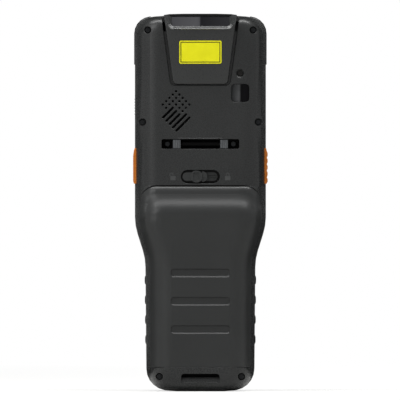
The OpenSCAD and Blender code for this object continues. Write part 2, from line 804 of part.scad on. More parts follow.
module screw(x, z, seat, len, d, hd) {
    difference() {
        union() {
            rod_y(x, z, hd, seat - head_t, seat - 0.02);
            rod_y(x, z, d, seat - 0.1, seat + len);
        }
        translate([x, seat - head_t + 0.4, z]) for (a = [0, 90]) rotate([0, a, 0])
            cube([hd * 0.6, 1, 0.5], center = true);
    }
}

module housing_screws() {
    color("#55585c") for (s = screw_spots, m = [-1, 1])
        screw(m * s[0], s[1], s[2], part_y + insert_l - 0.4 - s[2], screw_d, head_d);
}

module screw_inserts() {
    color("#b98a3a") for (s = screw_spots, m = [-1, 1]) difference() {
        rod_y(m * s[0], s[1], insert_d, part_y + 0.1, part_y + insert_l);
        rod_y(m * s[0], s[1], screw_d + 0.06, part_y, part_y + insert_l + over);
    }
}

// Strap bar: a rod between two posts, each with a foot screwed to the floor of the pocket
module strap_bar() {
    w = strap_h - 0.6;
    color("#b9bbbd") mirror_x() {
        block([post_x, back_y + 0.5, strap_z - w / 2],
            [post_x + post_w, strap_floor - 0.02, strap_z + w / 2]);
        difference() {
            block([post_x + post_w - 0.1, strap_floor - foot_t, strap_z - w / 2],
                [strap_w / 2 - 0.4, strap_floor - 0.02, strap_z + w / 2]);
            rod_y(foot_x, strap_z, screw_d + 0.1, strap_floor - 3, strap_floor + 1);
        }
    }
    color("#2b2c2e") translate([-post_x - 0.5, back_y + 2.2, strap_z]) rotate([0, 90, 0])
        cylinder(d = strap_rod_d, h = 2 * post_x + 1);
}

module strap_bar_screws() {
    color("#55585c") for (m = [-1, 1])
        screw(m * foot_x, strap_z, strap_floor - foot_t, foot_t + 0.9, screw_d - 0.45, 3);
}

// ---- Latch ----

module latch_slider() {
    flat_h = latch_h - 1.3;
    grip_x = thumb_x + thumb_l * 0.08;
    color("#3b3d40") {
        // plate behind the slot, with two short marks
        difference() {
            block([-plate_x, plate_y, latch_z - latch_h / 2 + 0.4],
                [plate_x - latch_travel, plate_y + latch_plate_t, latch_z + latch_h / 2 + 1.3]);
            for (z = [-0.55, 0.55]) block([latch_w * 0.21, plate_y - over, latch_z + z - 0.2],
                [latch_w * 0.42, plate_y + 0.25, latch_z + z + 0.2]);
        }
        // flat piece in the slot and a round grip with a thumb dish
        slab(back_y + 0.15, plate_y + 0.1) translate([thumb_x, latch_z])
            round_rect(thumb_l, flat_h, flat_h * 0.499);
        difference() {
            rod_y(grip_x, latch_z, latch_h - 0.6, back_y - 0.35, plate_y + 0.1);
            block([grip_x - 1.5, back_y - over, latch_z - latch_h * 0.3],
                [grip_x + 1.2, back_y - 0.05, latch_z + latch_h * 0.3]);
        }
    }
}

module latch_bolt() {
    color("#9a9da0") block([bolt_x - bolt_w / 2, bolt_y, door_high - bolt_reach],
        [bolt_x + bolt_w / 2, bolt_y + bolt_t, latch_z + 2.4]);
}

// ---- Battery door ----

// Outline of a finger groove, drawn in by s, at height z and depth y
function groove_ring(s, z, y) = let (r = 1.6, x = groove_w / 2 - r, h = groove_h / 2 - r)
    [for (p = mirrored(concat(arc(x, z + h, r - s, 90, 0, 4), arc(x, z - h, r - s, 0, -90, 4))))
        [p[0], y, p[1]]];

module battery_door() {
    color(charcoal) {
        difference() {
            intersection() {
                back_form();
                slab(grip_y - over, ledge_y - 0.1) door_plan();
            }
            // hollow that holds the battery
            intersection() {
                back_form(door_wall, over);
                slab(grip_y - over, ledge_y + over)
                    door_plan(-door_wall, -door_wall, door_low + door_gap + door_wall);
            }
            // notch that the bolt slides in
            block([bolt_x - bolt_w / 2 - 0.4, bolt_y - 0.3, door_high - door_wall - over],
                [bolt_x + bolt_w / 2 + latch_travel + 0.4, ledge_y, door_high + over]);
            // finger grooves with sloping walls
            for (i = [0:groove_count - 1]) let (z = groove_top - groove_h / 2 - i * groove_pitch)
                loft([groove_ring(groove_depth, z, grip_y + groove_depth), groove_ring(0, z, grip_y),
                    groove_ring(0, z, grip_y - over)]);
        }
        // tabs that hook under the foot, and the hook that the bolt holds
        mirror_x() {
            block([tab_x - tab_w / 2, tab_y, door_low - tab_l],
                [tab_x + tab_w / 2, tab_y + tab_t, door_low + door_gap + 1]);
        }
        block([hook_x + hook_w + 1, back_y + 0.6, door_high - 4],
            [hook_x + hook_w + 2.2, hook_y + hook_t, door_high - 0.6]);
        block([hook_x, hook_y, door_high - 4],
            [hook_x + hook_w + 2.2, hook_y + hook_t, door_high - 0.6]);
    }
}

// Foam seal inside the rim of the door
module door_seal() {
    t = 1.2;
    g = door_wall + 1.35;
    low = door_low + door_gap + door_wall + 0.15;
    color("#2f3033") slab(ledge_y - 1.8, ledge_y - 0.15) difference() {
        door_plan(-g, -5.4, low);
        door_plan(-g - t, -5.4 - t, low + t);
    }
}

// ---- Battery ----

module battery_pack() {
    z0 = bay_low + bay_gap;
    r = 4;
    color("#26282c") translate([0, 0, z0]) linear_extrude(battery_l)
        translate([0, (battery_y0 + battery_y1) / 2]) difference() {
            square([battery_w, battery_t], center = true);
            for (m = [-1, 1]) translate([m * battery_w / 2, -battery_t / 2]) difference() {
                square(2 * r, center = true);
                translate([-m * r, r]) circle(r);
            }
        }
}

module battery_contacts() {
    z0 = bay_low + bay_gap + battery_l + 0.2;
    color("#c9a227") for (i = [-2:2])
        block([i * 2.4 - 0.5, bay_y - 6, z0], [i * 2.4 + 0.5, bay_y - 1.2, z0 + 1.2]);
    color("#1b1b1d") block([-7, bay_y - 6.6, z0 + 1.2], [7, bay_y - 0.05, bay_high - 0.05]);
}

// ---- Inner frame and electronics ----

frame_split = glass_low + 1;
module mid_frame() {
    color("#a8abae") {
        difference() {
            union() {
                block([-frame_w / 2, frame_high_y - frame_t, frame_split - 2],
                    [frame_w / 2, frame_high_y, glass_high - 2.6]);
                block([-frame_w / 2 + 3, frame_low_y - frame_t, row_z - 5],
                    [frame_w / 2 - 3, frame_low_y, frame_split]);
                block([-frame_w / 2 + 3, frame_low_y - frame_t, frame_split - 2],
                    [frame_w / 2 - 3, frame_high_y, frame_split]);
                for (s = board_posts) rod_y(s[0], s[1], 4, board_y + 0.05, frame_high_y - 0.1);
            }
            for (i = [0:2]) let (z = row_z + 4 + i * 20)
                block([-14, frame_low_y - frame_t - over, z], [14, frame_low_y + over, z + 12]);
        }
        // edge flanges that stiffen the frame
        mirror_x() block([frame_w / 2 - 1, frame_high_y - 3.2, frame_split],
            [frame_w / 2, frame_high_y, glass_high - 2.6]);
    }
}
board_low = door_high + 3;
board_high = hood_low + 5.7;
card_l = 14;
card_low = board_high - 3 - card_l;
shield_low = board_low + 5;
shield_high = card_low - 7.8;
board_posts = [for (x = [-1, 1], z = [board_low + 5, board_high - 5]) [x * (board_w / 2 - 4), z]];

module main_board() {
    color("#1f5c3a") slab(board_y - board_t, board_y) translate([0, (board_low + board_high) / 2])
        square([board_w, board_high - board_low], center = true);
}

module board_shields() {
    y = board_y - board_t;
    color("#b4b7ba") {
        slab(y - 1.6, y - 0.02) translate([-9, (shield_low + shield_high) / 2 - 2])
            round_rect(24, shield_high - shield_low - 4, 1);
        slab(y - 1.6, y - 0.02) translate([13, (shield_low + shield_high) / 2])
            round_rect(14, shield_high - shield_low, 1);
    }
}

module display_panel() {
    color("#0e1218") slab(panel_y - panel_t, panel_y) translate([0, (glass_low + glass_high) / 2])
        round_rect(panel_w, glass_high - glass_low - 7, 1.5);
}

module touch_glass() {
    color("#0b0c0e") slab(glass_ledge + 0.02, glass_y) translate([0, (glass_low + glass_high) / 2])
        round_rect(glass_w, glass_high - glass_low, 2.9);
}

pad_low = row_z - key_h / 2 - 1.6;
pad_high = scan_z + scan_h / 2 + 1.4;
module keypad_membrane() {
    color("#3d4046") slab(membrane_y - membrane_t, membrane_y) translate([0, (pad_low + pad_high) / 2])
        round_rect(2 * key_pitch_x + key_w + 1.6, pad_high - pad_low, 2);
}

module keypad_board() {
    color("#1f5c3a") slab(keyboard_y - keyboard_t, keyboard_y - 0.02)
        translate([0, (pad_low + pad_high) / 2])
        round_rect(2 * key_pitch_x + key_w + 1.6, pad_high - pad_low, 1.5);
}

module earpiece() {
    color("#2a2b2e") slab(inner_y + 0.4, front_y - 1.4) translate([0, glass_high + 4.6])
        round_rect(11.8, 1.2, 0.59);
}

module status_light() {
    color("#dfe8df") rod_y(status_x, glass_high + 4.6, 1.6, inner_y - 0.6, front_y - 0.2);
}

module charge_contacts() {
    color("#c9a227") for (i = [-3:3]) translate([i * contact_pitch, contact_y, 0.3])
        cylinder(d = 1.8, h = 5);
}

module antenna() {
    color("#c58b3b") slab(inner_y - 0.3, inner_y - 0.05) translate([-14, body_h - 6.6])
        square([16, 5], center = true);
}

module vibration_motor() {
    color("#9a9da0") rod_y(-18, board_high - 12, 10, board_y - board_t - 2.9, board_y - board_t - 0.02);
}

module card_socket() {
    y = board_y - board_t;
    color("#b4b7ba") difference() {
        slab(y - 1.5, y - 0.02) translate([14, card_low + card_l / 2]) square([15, card_l], center = true);
        block([8, y - 1.1, card_low - over], [20, y - 0.5, card_low + card_l - 3]);
    }
}

// ---- Side keys and port ----

module side_key_body(crown) {
    z = side_key_l / 2;
    x = key_flange_x;
    translate([0, 0, side_key_z]) {
        translate([0, side_key_y + side_key_w / 2, 0]) rotate([90, 0, 0])
            linear_extrude(side_key_w) polygon(crown);
        block([x, side_key_y - side_key_w / 2 - 0.7, -z - 0.9],
            [x + key_flange, side_key_y + side_key_w / 2 + 0.7, z + 0.9]);
    }
}

module side_key_left() {
    z = side_key_l / 2;
    proud = half_w + side_key_proud;
    low_proud = half_w + side_key_proud * 0.6;
    color(orange) mirror([1, 0, 0]) side_key_body([[key_flange_x + 0.5, -z], [low_proud, -z],
        [proud, -z + 1.6], [proud, z - 4], [low_proud, z - 1.4], [half_w + 0.1, z],
        [key_flange_x + 0.5, z]]);
}

module side_key_right() {
    z = side_key_l / 2;
    rib = side_key_l / 5.5;
    proud = half_w + side_key_proud;
    color(orange) side_key_body(concat([[key_flange_x + 0.5, -z], [half_w + side_key_proud * 0.4, -z]],
        [for (i = [0:4]) each [[proud, -z + (i + 0.35) * rib], [proud, -z + (i + 0.7) * rib],
            [half_w + side_key_proud * 0.55, -z + (i + 1) * rib]]],
        [[half_w + 0.1, z], [key_flange_x + 0.5, z]]));
}

module side_switches() {
    x = key_flange_x - side_key_travel - 0.1;
    color("#c9cbcd") mirror_x() {
        block([x - 2.2, side_key_y - 2.2, side_key_z - 3],
            [x - 0.6, side_key_y + 2.2, side_key_z + 3]);
        translate([x - 0.7, side_key_y, side_key_z]) rotate([0, 90, 0]) cylinder(d = 2.4, h = 0.7);
    }
}

// Rubber flap over the side port, hinged along its lower edge
module port_cover() {
    color("#2b2c2e") block([-half_w, port_y - port_w / 2 + 0.15, port_z + 0.15],
        [-half_w + port_t - 0.1, port_y + port_w / 2 - 0.15, port_z + port_l - 0.3]);
}

module usb_port() {
    x = -half_w + port_t + 0.2;
    port_depth = -frame_w / 2 - 0.4 - x;
    color("#b4b7ba") translate([x, port_y, port_z + port_l / 2]) rotate([0, 90, 0]) difference() {
        linear_extrude(port_depth) round_rect(9.2, 3.4, 1.65);
        translate([0, 0, -over]) linear_extrude(port_depth - 0.2) round_rect(8.4, 2.6, 1.25);
    }
}

// ---- Front keys ----

module key_cap(k) {
    r = key_radius(k);
    color(k[0] == "key_scan" ? orange : "#4a4d52") translate([k[1], 0, k[2]]) {
        intersection() {
            slab(key_seat - 0.1, cap_y + 1) round_rect(k[3], k[4], r);
            translate([0, cap_y - 40, -k[4]]) cylinder(r = 40, h = 2 * k[4], $fn = 96);
        }
        slab(key_seat - flange_h, key_seat) round_rect(k[3] + 1.4, k[4] + 1.2, r);
    }
}

module key(name) {
    for (k = key_table) if (k[0] == name) key_cap(k);
}

rear_housing();
front_housing();
housing_seal();
corner_bumpers();
side_grips();
scanner_hood();
scan_window();
scan_engine();
blank_label();
camera_window();
camera_module();
flash_lens();
speaker();
speaker_mesh();
housing_screws();
screw_inserts();
strap_bar();
strap_bar_screws();
latch_slider();
latch_bolt();
battery_door();
door_seal();
battery_pack();
battery_contacts();
mid_frame();
main_board();
board_shields();
display_panel();
touch_glass();
keypad_membrane();
keypad_board();
earpiece();
status_light();
side_key_left();
side_key_right();
side_switches();
port_cover();
usb_port();
charge_contacts();
antenna();
vibration_motor();
card_socket();
key("key_scan");  // key_scan
key("key_soft_left");  // key_soft_left
key("key_soft_right");  // key_soft_right
key("key_back");  // key_back
key("key_enter");  // key_enter
key("key_power");  // key_power
key("key_0");  // key_0
key("key_1");  // key_1
key("key_2");  // key_2
key("key_3");  // key_3
key("key_4");  // key_4
key("key_5");  // key_5
key("key_6");  // key_6
key("key_7");  // key_7
key("key_8");  // key_8
key("key_9");  // key_9
key("key_star");  // key_star
key("key_hash");  // key_hash
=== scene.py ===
import json
import math

import bmesh
import bpy
from mathutils import Matrix, Vector
from mathutils.bvhtree import BVHTree

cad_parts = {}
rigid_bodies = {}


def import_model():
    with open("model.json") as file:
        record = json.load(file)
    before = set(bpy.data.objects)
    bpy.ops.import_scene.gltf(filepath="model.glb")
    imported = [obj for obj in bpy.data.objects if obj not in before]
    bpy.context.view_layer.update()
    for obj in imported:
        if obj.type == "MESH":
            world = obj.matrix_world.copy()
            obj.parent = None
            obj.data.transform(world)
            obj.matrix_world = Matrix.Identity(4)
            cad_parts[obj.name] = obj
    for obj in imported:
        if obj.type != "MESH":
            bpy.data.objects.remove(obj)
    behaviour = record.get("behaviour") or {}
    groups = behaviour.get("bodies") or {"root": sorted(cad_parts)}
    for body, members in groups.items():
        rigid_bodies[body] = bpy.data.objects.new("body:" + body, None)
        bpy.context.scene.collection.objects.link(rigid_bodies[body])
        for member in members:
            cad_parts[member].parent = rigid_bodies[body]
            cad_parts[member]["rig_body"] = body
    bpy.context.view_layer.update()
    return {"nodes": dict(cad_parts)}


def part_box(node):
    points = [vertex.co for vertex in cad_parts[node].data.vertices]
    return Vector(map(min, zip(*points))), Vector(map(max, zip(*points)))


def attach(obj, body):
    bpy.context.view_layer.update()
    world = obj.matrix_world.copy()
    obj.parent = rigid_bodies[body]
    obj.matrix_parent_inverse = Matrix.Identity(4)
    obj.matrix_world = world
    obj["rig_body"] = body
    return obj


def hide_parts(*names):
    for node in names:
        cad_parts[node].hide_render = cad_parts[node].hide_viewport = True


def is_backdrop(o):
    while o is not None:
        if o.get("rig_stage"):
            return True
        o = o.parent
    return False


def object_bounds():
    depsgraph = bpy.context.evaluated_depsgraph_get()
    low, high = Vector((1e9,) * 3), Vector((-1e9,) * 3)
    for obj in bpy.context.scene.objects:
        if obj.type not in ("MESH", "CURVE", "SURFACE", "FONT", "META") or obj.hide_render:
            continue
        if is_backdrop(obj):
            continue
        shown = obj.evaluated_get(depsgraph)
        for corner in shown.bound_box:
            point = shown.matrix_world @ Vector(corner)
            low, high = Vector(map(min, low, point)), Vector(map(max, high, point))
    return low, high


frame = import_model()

mm = 0.001
nodes = frame["nodes"]
scene = bpy.context.scene
print("frame loaded,", len(nodes), "nodes")


def inMm(box):
    return [[value / mm for value in corner] for corner in box]


def linear(hexCode):
    # sRGB hex code to the linear colour that a socket takes
    parts = [int(hexCode[i:i + 2], 16) / 255 for i in (1, 3, 5)]
    return (*[c / 12.92 if c <= 0.04045 else ((c + 0.055) / 1.055) ** 2.4 for c in parts], 1)


def grey(value):
    return (value, value, value, 1)


def addNode(tree, kind, inputs=(), stops=(), **settings):
    # inputs: values for the first sockets, or socket names with their values. A node or a socket
    # is linked from, and a list is linked in its order. stops: places and colours of a ramp
    node = tree.nodes.new(kind)
    for key, value in settings.items():
        setattr(node, key, value)
    for key, value in inputs.items() if isinstance(inputs, dict) else enumerate(inputs):
        for source in value if isinstance(value, list) else [value]:
            if isinstance(source, bpy.types.Node):
                source = source.outputs[0]
            if isinstance(source, bpy.types.NodeSocket):
                tree.links.new(source, node.inputs[key])
            else:
                node.inputs[key].default_value = source
    if stops:
        elements = node.color_ramp.elements
        while len(elements) < len(stops):
            elements.new(0.5)
        for element, (position, colour) in zip(elements, stops):
            element.position = position
            element.color = colour
    return node


def emptyTree(owner):
    # the shader tree of a material or a world, with nothing in it
    owner.use_nodes = True
    owner.node_tree.nodes.clear()
    return owner.node_tree


def openMaterial(name):
    # an empty material, and the place on the piece that its patterns follow
    material = bpy.data.materials.new(name)
    tree = emptyTree(material)
    return material, tree, addNode(tree, "ShaderNodeTexCoord").outputs["Object"]


def closeMaterial(material, tone, gloss, relief, others):
    # ends the material in one surface
    tree = material.node_tree
    sockets = {"Base Color": tone, "Roughness": gloss, **others}
    if relief:
        sockets["Normal"] = relief
    addNode(tree, "ShaderNodeOutputMaterial", [addNode(tree, "ShaderNodeBsdfPrincipled", sockets)])
    return material


def drift(tree, place, sizeMm, low, high, edge=0.3, detail=2.0):
    # wanders between two colours or values in patches about sizeMm wide
    patches = addNode(tree, "ShaderNodeTexNoise", {
        "Vector": place, "Scale": 1 / (sizeMm * mm), "Detail": detail})
    tone = addNode(tree, "ShaderNodeValToRGB", [patches], [(edge, low), (1 - edge, high)])
    return patches, tone


def mouldedPlastic(name, colour, lighter, roughness, grainMm=0.45, specular=0.25, edgeMm=0.3,
                   inlay=None):
    # PC/ABS from a spark-eroded mould: an even, fine grain that breaks up any gloss, a little
    # uneven in tone over a few centimetres. The real grain is 0.1 mm, drawn coarser to show.
    material, tree, place = openMaterial(name)
    tone = drift(tree, place, 24, linear(colour), linear(lighter), edge=0.35)[1]
    if inlay:
        tone = inlay(tree, place, tone)
    grain, gloss = drift(tree, place, grainMm, grey(roughness - 0.05), grey(roughness + 0.05), detail=3)
    # moulded edges are never sharp: this rounds how they catch the light
    rounded = addNode(tree, "ShaderNodeBevel", {"Radius": edgeMm * mm}, samples=6)
    relief = addNode(tree, "ShaderNodeBump", {
        "Height": grain, "Strength": 0.3, "Distance": 0.015 * mm, "Normal": rounded})
    return closeMaterial(material, tone, gloss, relief, {"IOR": 1.5, "Specular IOR Level": specular})


def softRubber(name, colour, lighter, grainMm, specular=0.15):
    # moulded TPU rubber: matt and deep, with a soft sheen at grazing angles
    material, tree, place = openMaterial(name)
    tone = drift(tree, place, 9, linear(colour), linear(lighter), edge=0.35)[1]
    grain, gloss = drift(tree, place, grainMm, grey(0.68), grey(0.82), detail=4)
    relief = addNode(tree, "ShaderNodeBump", {
        "Height": grain, "Strength": 0.6, "Distance": 0.05 * mm})
    return closeMaterial(material, tone, gloss, relief, {
        "IOR": 1.5, "Specular IOR Level": specular, "Sheen Weight": specular / 3,
        "Sheen Roughness": 0.5})


def tintedGlass(name, colour, deeper, roughness=0.06, specular=0.5, inlay=None):
    # cast acrylic, glass or a flat coat of ink: one deep tone, a clean gloss and a trace of haze
    material, tree, place = openMaterial(name)
    tone = drift(tree, place, 30, linear(deeper), linear(colour))[1]
    if inlay:
        tone = inlay(tree, place, tone)
    haze = drift(tree, place, 3, grey(roughness), grey(roughness + 0.03))[1]
    return closeMaterial(material, tone, haze, None, {"IOR": 1.49, "Specular IOR Level": specular})


def paintedReflectionGlass(name, bands, specular):
    # tinted acrylic with a painted reflection in its colour: paler bands on one side, dark on the
    # other. bands are x positions in mm with the colour painted there.
    material, tree, place = openMaterial(name)
    start, end = bands[0][0], bands[-1][0]
    blur = 0.01   # share of the width by which the haze moves a band's edge
    haze, gloss = drift(tree, place, 2.5, grey(0.07), grey(0.11))
    across = addNode(tree, "ShaderNodeSeparateXYZ", [place])
    share = addNode(tree, "ShaderNodeMapRange", {
        "Value": across, "From Min": start * mm, "From Max": end * mm,
        "To Min": -blur / 2, "To Max": 1 - blur / 2}, clamp=False)
    blurred = addNode(tree, "ShaderNodeMath", [haze, blur, share], operation="MULTIPLY_ADD")
    tone = addNode(tree, "ShaderNodeValToRGB", [blurred],
                   [((x - start) / (end - start), linear(colour)) for x, colour in bands])
    return closeMaterial(material, tone, gloss, None, {"IOR": 1.49, "Specular IOR Level": specular})


def workedMetal(name, colour, lighter, roughness, grainMm, stretch=(1, 1, 0.1)):
    # turned, stamped or cast metal: fine lines one way, which stretch the highlight
    material, tree, place = openMaterial(name)
    drawn = addNode(tree, "ShaderNodeMapping", {"Vector": place, "Scale": stretch})
    lines, tone = drift(tree, drawn, grainMm, linear(colour), linear(lighter), detail=3)
    gloss = addNode(tree, "ShaderNodeValToRGB", [lines],
                    [(0.3, grey(roughness - 0.08)), (0.7, grey(roughness + 0.08))])
    relief = addNode(tree, "ShaderNodeBump", {
        "Height": lines, "Strength": 0.3, "Distance": 0.02 * mm})
    return closeMaterial(material, tone, gloss, relief, {"Metallic": 1.0})


def circuitBoard(name):
    # solder mask over copper: green lacquer with slightly raised tracks
    material, tree, place = openMaterial(name)
    tracks = addNode(tree, "ShaderNodeTexBrick", {
        "Vector": place, "Scale": 1 / (9 * mm), "Color1": linear("#1c5a38"),
        "Color2": linear("#236a43"), "Mortar": linear("#2f7d50"), "Mortar Size": 0.012})
    relief = addNode(tree, "ShaderNodeBump", {
        "Height": tracks.outputs["Fac"], "Strength": 0.3, "Distance": 0.03 * mm})
    return closeMaterial(material, tracks, 0.35, relief, {"IOR": 1.55})


def distanceOutside(tree, place, box, insetMm):
    # metres outside a box as seen in x and z, drawn in by insetMm
    low, high = (Vector(corner) for corner in box)
    half = (high - low) / 2 - Vector((insetMm, 0, insetMm)) * mm
    away = addNode(tree, "ShaderNodeVectorMath", [place, (low + high) / 2], operation="SUBTRACT")
    away = addNode(tree, "ShaderNodeVectorMath", [away], operation="ABSOLUTE")
    away = addNode(tree, "ShaderNodeVectorMath", [away, half], operation="SUBTRACT")
    past = addNode(tree, "ShaderNodeSeparateXYZ", [away]).outputs
    return addNode(tree, "ShaderNodeMath", [past["X"], past["Z"]], operation="MAXIMUM")


def framedLabel(name, colour, lighter, frameLine):
    # vinyl film with a thin printed frame, its tone a little uneven and its gloss like orange peel
    material, tree, place = openMaterial(name)
    film = drift(tree, place, 4, linear(colour), linear(lighter))[1]
    away = distanceOutside(tree, place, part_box("blank_label"), frameLine["inset"])
    away = addNode(tree, "ShaderNodeMath", [away], operation="ABSOLUTE")
    line = addNode(tree, "ShaderNodeMath", [away, frameLine["width"] / 2 * mm], operation="LESS_THAN")
    printed = addNode(tree, "ShaderNodeMixRGB", [line, film, linear(frameLine["ink"])])
    peel, gloss = drift(tree, place, 0.6, grey(0.4), grey(0.5))
    relief = addNode(tree, "ShaderNodeBump", {
        "Height": peel, "Strength": 0.2, "Distance": 0.01 * mm})
    return closeMaterial(material, printed, gloss, relief, {"IOR": 1.5, "Specular IOR Level": 0.2})


displayBorder = {"inset": 1.2, "ink": "#040405"}   # inset from the display's outline, in mm


def printedBorder(tree, place, tone):
    # black ink behind the cover glass, all round the display that shows through it
    away = distanceOutside(tree, place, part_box("display_panel"), displayBorder["inset"])
    border = addNode(tree, "ShaderNodeMath", [away, 0.0], operation="GREATER_THAN")
    return addNode(tree, "ShaderNodeMixRGB", [border, tone, linear(displayBorder["ink"])])


# the latch, in mm: its thumb piece runs in a slot of the flat back, both with round ends
latchZ, backFace = 107.95, -10.5   # its middle, and the housing's flat back
slotShape = {"left": -9.8, "right": 9.8, "radius": 3.35, "floor": -8}
thumbShape = {"left": -9.55, "right": 3.55, "radius": 2.7}
# painted shade: black beyond each outline drawn in by inset, between two depths and up to an end in x
latchShadeGaps = [
    {**slotShape, "inset": 1.2, "from": -9.6, "to": -8, "end": 99},
    {**thumbShape, "inset": 0.6, "from": -10.45, "to": -10.2, "end": 0.9},
]


def latchShadow(tree, place, tone):
    # paints shade on the plate behind the slot, black round the thumb piece, so the slot shows as a dark line
    spot = addNode(tree, "ShaderNodeSeparateXYZ", [place]).outputs
    shades = []
    for gap in latchShadeGaps:
        run = (gap["right"] - gap["left"]) / 2 - gap["radius"]
        centre = ((gap["left"] + gap["right"]) / 2 * mm, 0, latchZ * mm)
        away = place
        for operation, *value in (("SUBTRACT", centre), ("ABSOLUTE",), ("SUBTRACT", (run * mm, 0, 0)),
                                  ("MAXIMUM", (0, 0, 0)), ("MULTIPLY", (1, 0, 1)), ("LENGTH",)):
            away = addNode(tree, "ShaderNodeVectorMath", [away, *value], operation=operation)
        beyond = addNode(tree, "ShaderNodeMath", [
            away.outputs["Value"], (gap["radius"] - gap["inset"]) * mm], operation="GREATER_THAN")
        deep = addNode(tree, "ShaderNodeMath", [
            spot["Y"], (gap["from"] + gap["to"]) / 2 * mm, (gap["to"] - gap["from"]) / 2 * mm],
            operation="COMPARE")
        before = addNode(tree, "ShaderNodeMath", [spot["X"], gap["end"] * mm], operation="LESS_THAN")
        shade = addNode(tree, "ShaderNodeMath", [beyond, deep], operation="MULTIPLY")
        shades.append(addNode(tree, "ShaderNodeMath", [shade, before], operation="MULTIPLY"))
    mask = addNode(tree, "ShaderNodeMath", shades, operation="MAXIMUM")
    return addNode(tree, "ShaderNodeMixRGB", [mask, tone, linear("#060606")])


# housings: charcoal PC/ABS, whose soft, broad highlight comes from the fine grain of its mould
housingPlastic = mouldedPlastic("moulded_abs_charcoal", "#1e1f1f", "#212222", 0.28, edgeMm=0.4)
doorPlastic = mouldedPlastic("moulded_abs_door", "#202121", "#232424", 0.36, edgeMm=0.25)   # more matt
hoodPlastic = mouldedPlastic("moulded_abs_hood", "#2a2b2b", "#2d2e2e", 0.3)   # a shade paler
# the lip round the scan window comes from a polished part of its mould, and shines
lipPlastic = mouldedPlastic("polished_abs_lip", "#2a2b2b", "#2d2e2e", 0.2, specular=1.0, edgeMm=0.1)
# pigmented PC/ABS, satin and saturated
orangePlastic = mouldedPlastic("moulded_abs_orange", "#ae6018", "#b5671d", 0.4, grainMm=0.4)
# key caps: grey ABS with a finer grain, which keeps them matt under the print
keyPlastic = mouldedPlastic("moulded_key_grey", "#46484b", "#4b4d50", 0.45, grainMm=0.35, specular=0.3,
                            edgeMm=0.25)
# shrunk PVC sleeve of the battery: thin, slightly rippled, satin
batteryWrap = mouldedPlastic("battery_wrap", "#222428", "#2a2c31", 0.4, grainMm=0.6)
# the latch slides, so it is acetal, which has a waxy, dull sheen; painted shade blacks the plate round its
# thumb piece
latchPlastic = mouldedPlastic("moulded_acetal_latch", "#2f3030", "#323333", 0.34, specular=0.06,
                              edgeMm=0.2, inlay=latchShadow)

blackRubber = softRubber("moulded_tpu_black", "#161617", "#1b1b1c", 0.5)   # a dull, deep black
paintedShadeBlack = softRubber("matt_black_recess", "#060606", "#090909", 0.5, 0.05)   # painted shade: black for recesses and hidden faces in shadow
sealFoam = softRubber("silicone_seal", "#26272a", "#2e2f32", 0.4)   # soft, dusty grey
meshSteel = softRubber("gauze_painted_black", "#070708", "#0b0b0c", 0.2)   # powder paint, no gloss

displayGlass = tintedGlass("display_glass", "#08090b", "#050608", 0.04)   # black while switched off
# cover glass: hard and clean, with the dark display inside a black border
coverGlass = tintedGlass("cover_glass_printed_border", "#14171b", "#101317", 0.04, inlay=printedBorder)
smokedLens = tintedGlass("smoked_lens", "#1a1918", "#131211", 0.2, 0.1)   # flash: brownish, hazy
milkyLens = tintedGlass("milky_lens", "#cfd6cf", "#c2cac2", 0.25)   # scatters the status light
keyInk = tintedGlass("printed_ink_white", "#d8dadc", "#cfd1d3", 0.5, 0.2)   # flat screen-print ink
markPaint = tintedGlass("pressed_mark_grey", "#3c3d3d", "#363737", 0.5, 0.2)   # barely paler than the ABS
scanReflectionBands = [(-14.5, "#323234"), (-2, "#3a3a3c"), (-0.6, "#363638"), (0.2, "#161618"), (14.5, "#202022")]
scanAcrylic = paintedReflectionGlass("tinted_acrylic_scan_window", scanReflectionBands, 0.1)   # smoky, with a painted reflection: paler on one side, darker on the other
cameraReflectionBands = [(15.5, "#292a2b"), (17.4, "#353637"), (19.3, "#444546"), (19.8, "#3c3d3e"),
               (20.3, "#050506"), (22, "#08080a"), (24.5, "#020203")]
cameraAcrylic = paintedReflectionGlass("tinted_acrylic_camera_window", cameraReflectionBands, 0.05)   # painted reflection: grey with a pale streak, then black
labelFilm = framedLabel("printed_vinyl_yellow", "#dcd80e", "#e2de14",   # bright and satin
                        {"inset": 0.8, "width": 0.46, "ink": "#2a2a0c"})   # its frame line, in mm

postZinc = workedMetal("cast_zinc_post", "#4a4c4e", "#585a5c", 0.45, 0.3)   # dull, dark cast skin
blackSteel = workedMetal("blackened_steel", "#1c1d1e", "#262728", 0.4, 0.2)   # oxide: dark, soft gleam
shieldTin = workedMetal("tinned_steel_shield", "#a9acaf", "#bfc2c5", 0.35, 0.3)   # pale, rolled lines
frameAlloy = workedMetal("die_cast_alloy", "#9b9ea1", "#b0b3b6", 0.5, 0.5, (1, 1, 1))   # even, mottled
goldPlate = workedMetal("gold_plated_contact", "#c79a3f", "#ddb45a", 0.25, 0.2)   # bright, warm gloss
boardLacquer = circuitBoard("solder_mask_green")   # half-gloss green with paler tracks
print("materials")


def newObject(name, data):
    thing = bpy.data.objects.new(name, data)
    scene.collection.objects.link(thing)
    return thing


def plainMesh(thing):
    # the mesh that the object shows, in place of the object
    ready = thing.evaluated_get(bpy.context.evaluated_depsgraph_get())
    mesh = bpy.data.meshes.new_from_object(ready)
    bpy.data.objects.remove(thing)
    return mesh


def addPiece(name, mesh, body, material):
    piece = newObject(name, mesh)
    if material:
        mesh.materials.clear()
        mesh.materials.append(material)
    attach(piece, body)
    return piece


def smoothBelow(work, degrees):
    # rounds the shading over every edge that turns less than this
    for face in work.faces:
        face.smooth = True
    for edge in work.edges:
        turned = len(edge.link_faces) == 2 and edge.calc_face_angle(0) > math.radians(degrees)
        edge.smooth = not turned


weld = {"distance": 0.002, "fine": 0.001, "flatDegrees": 0.5, "sharpDegrees": 32}   # first two in mm


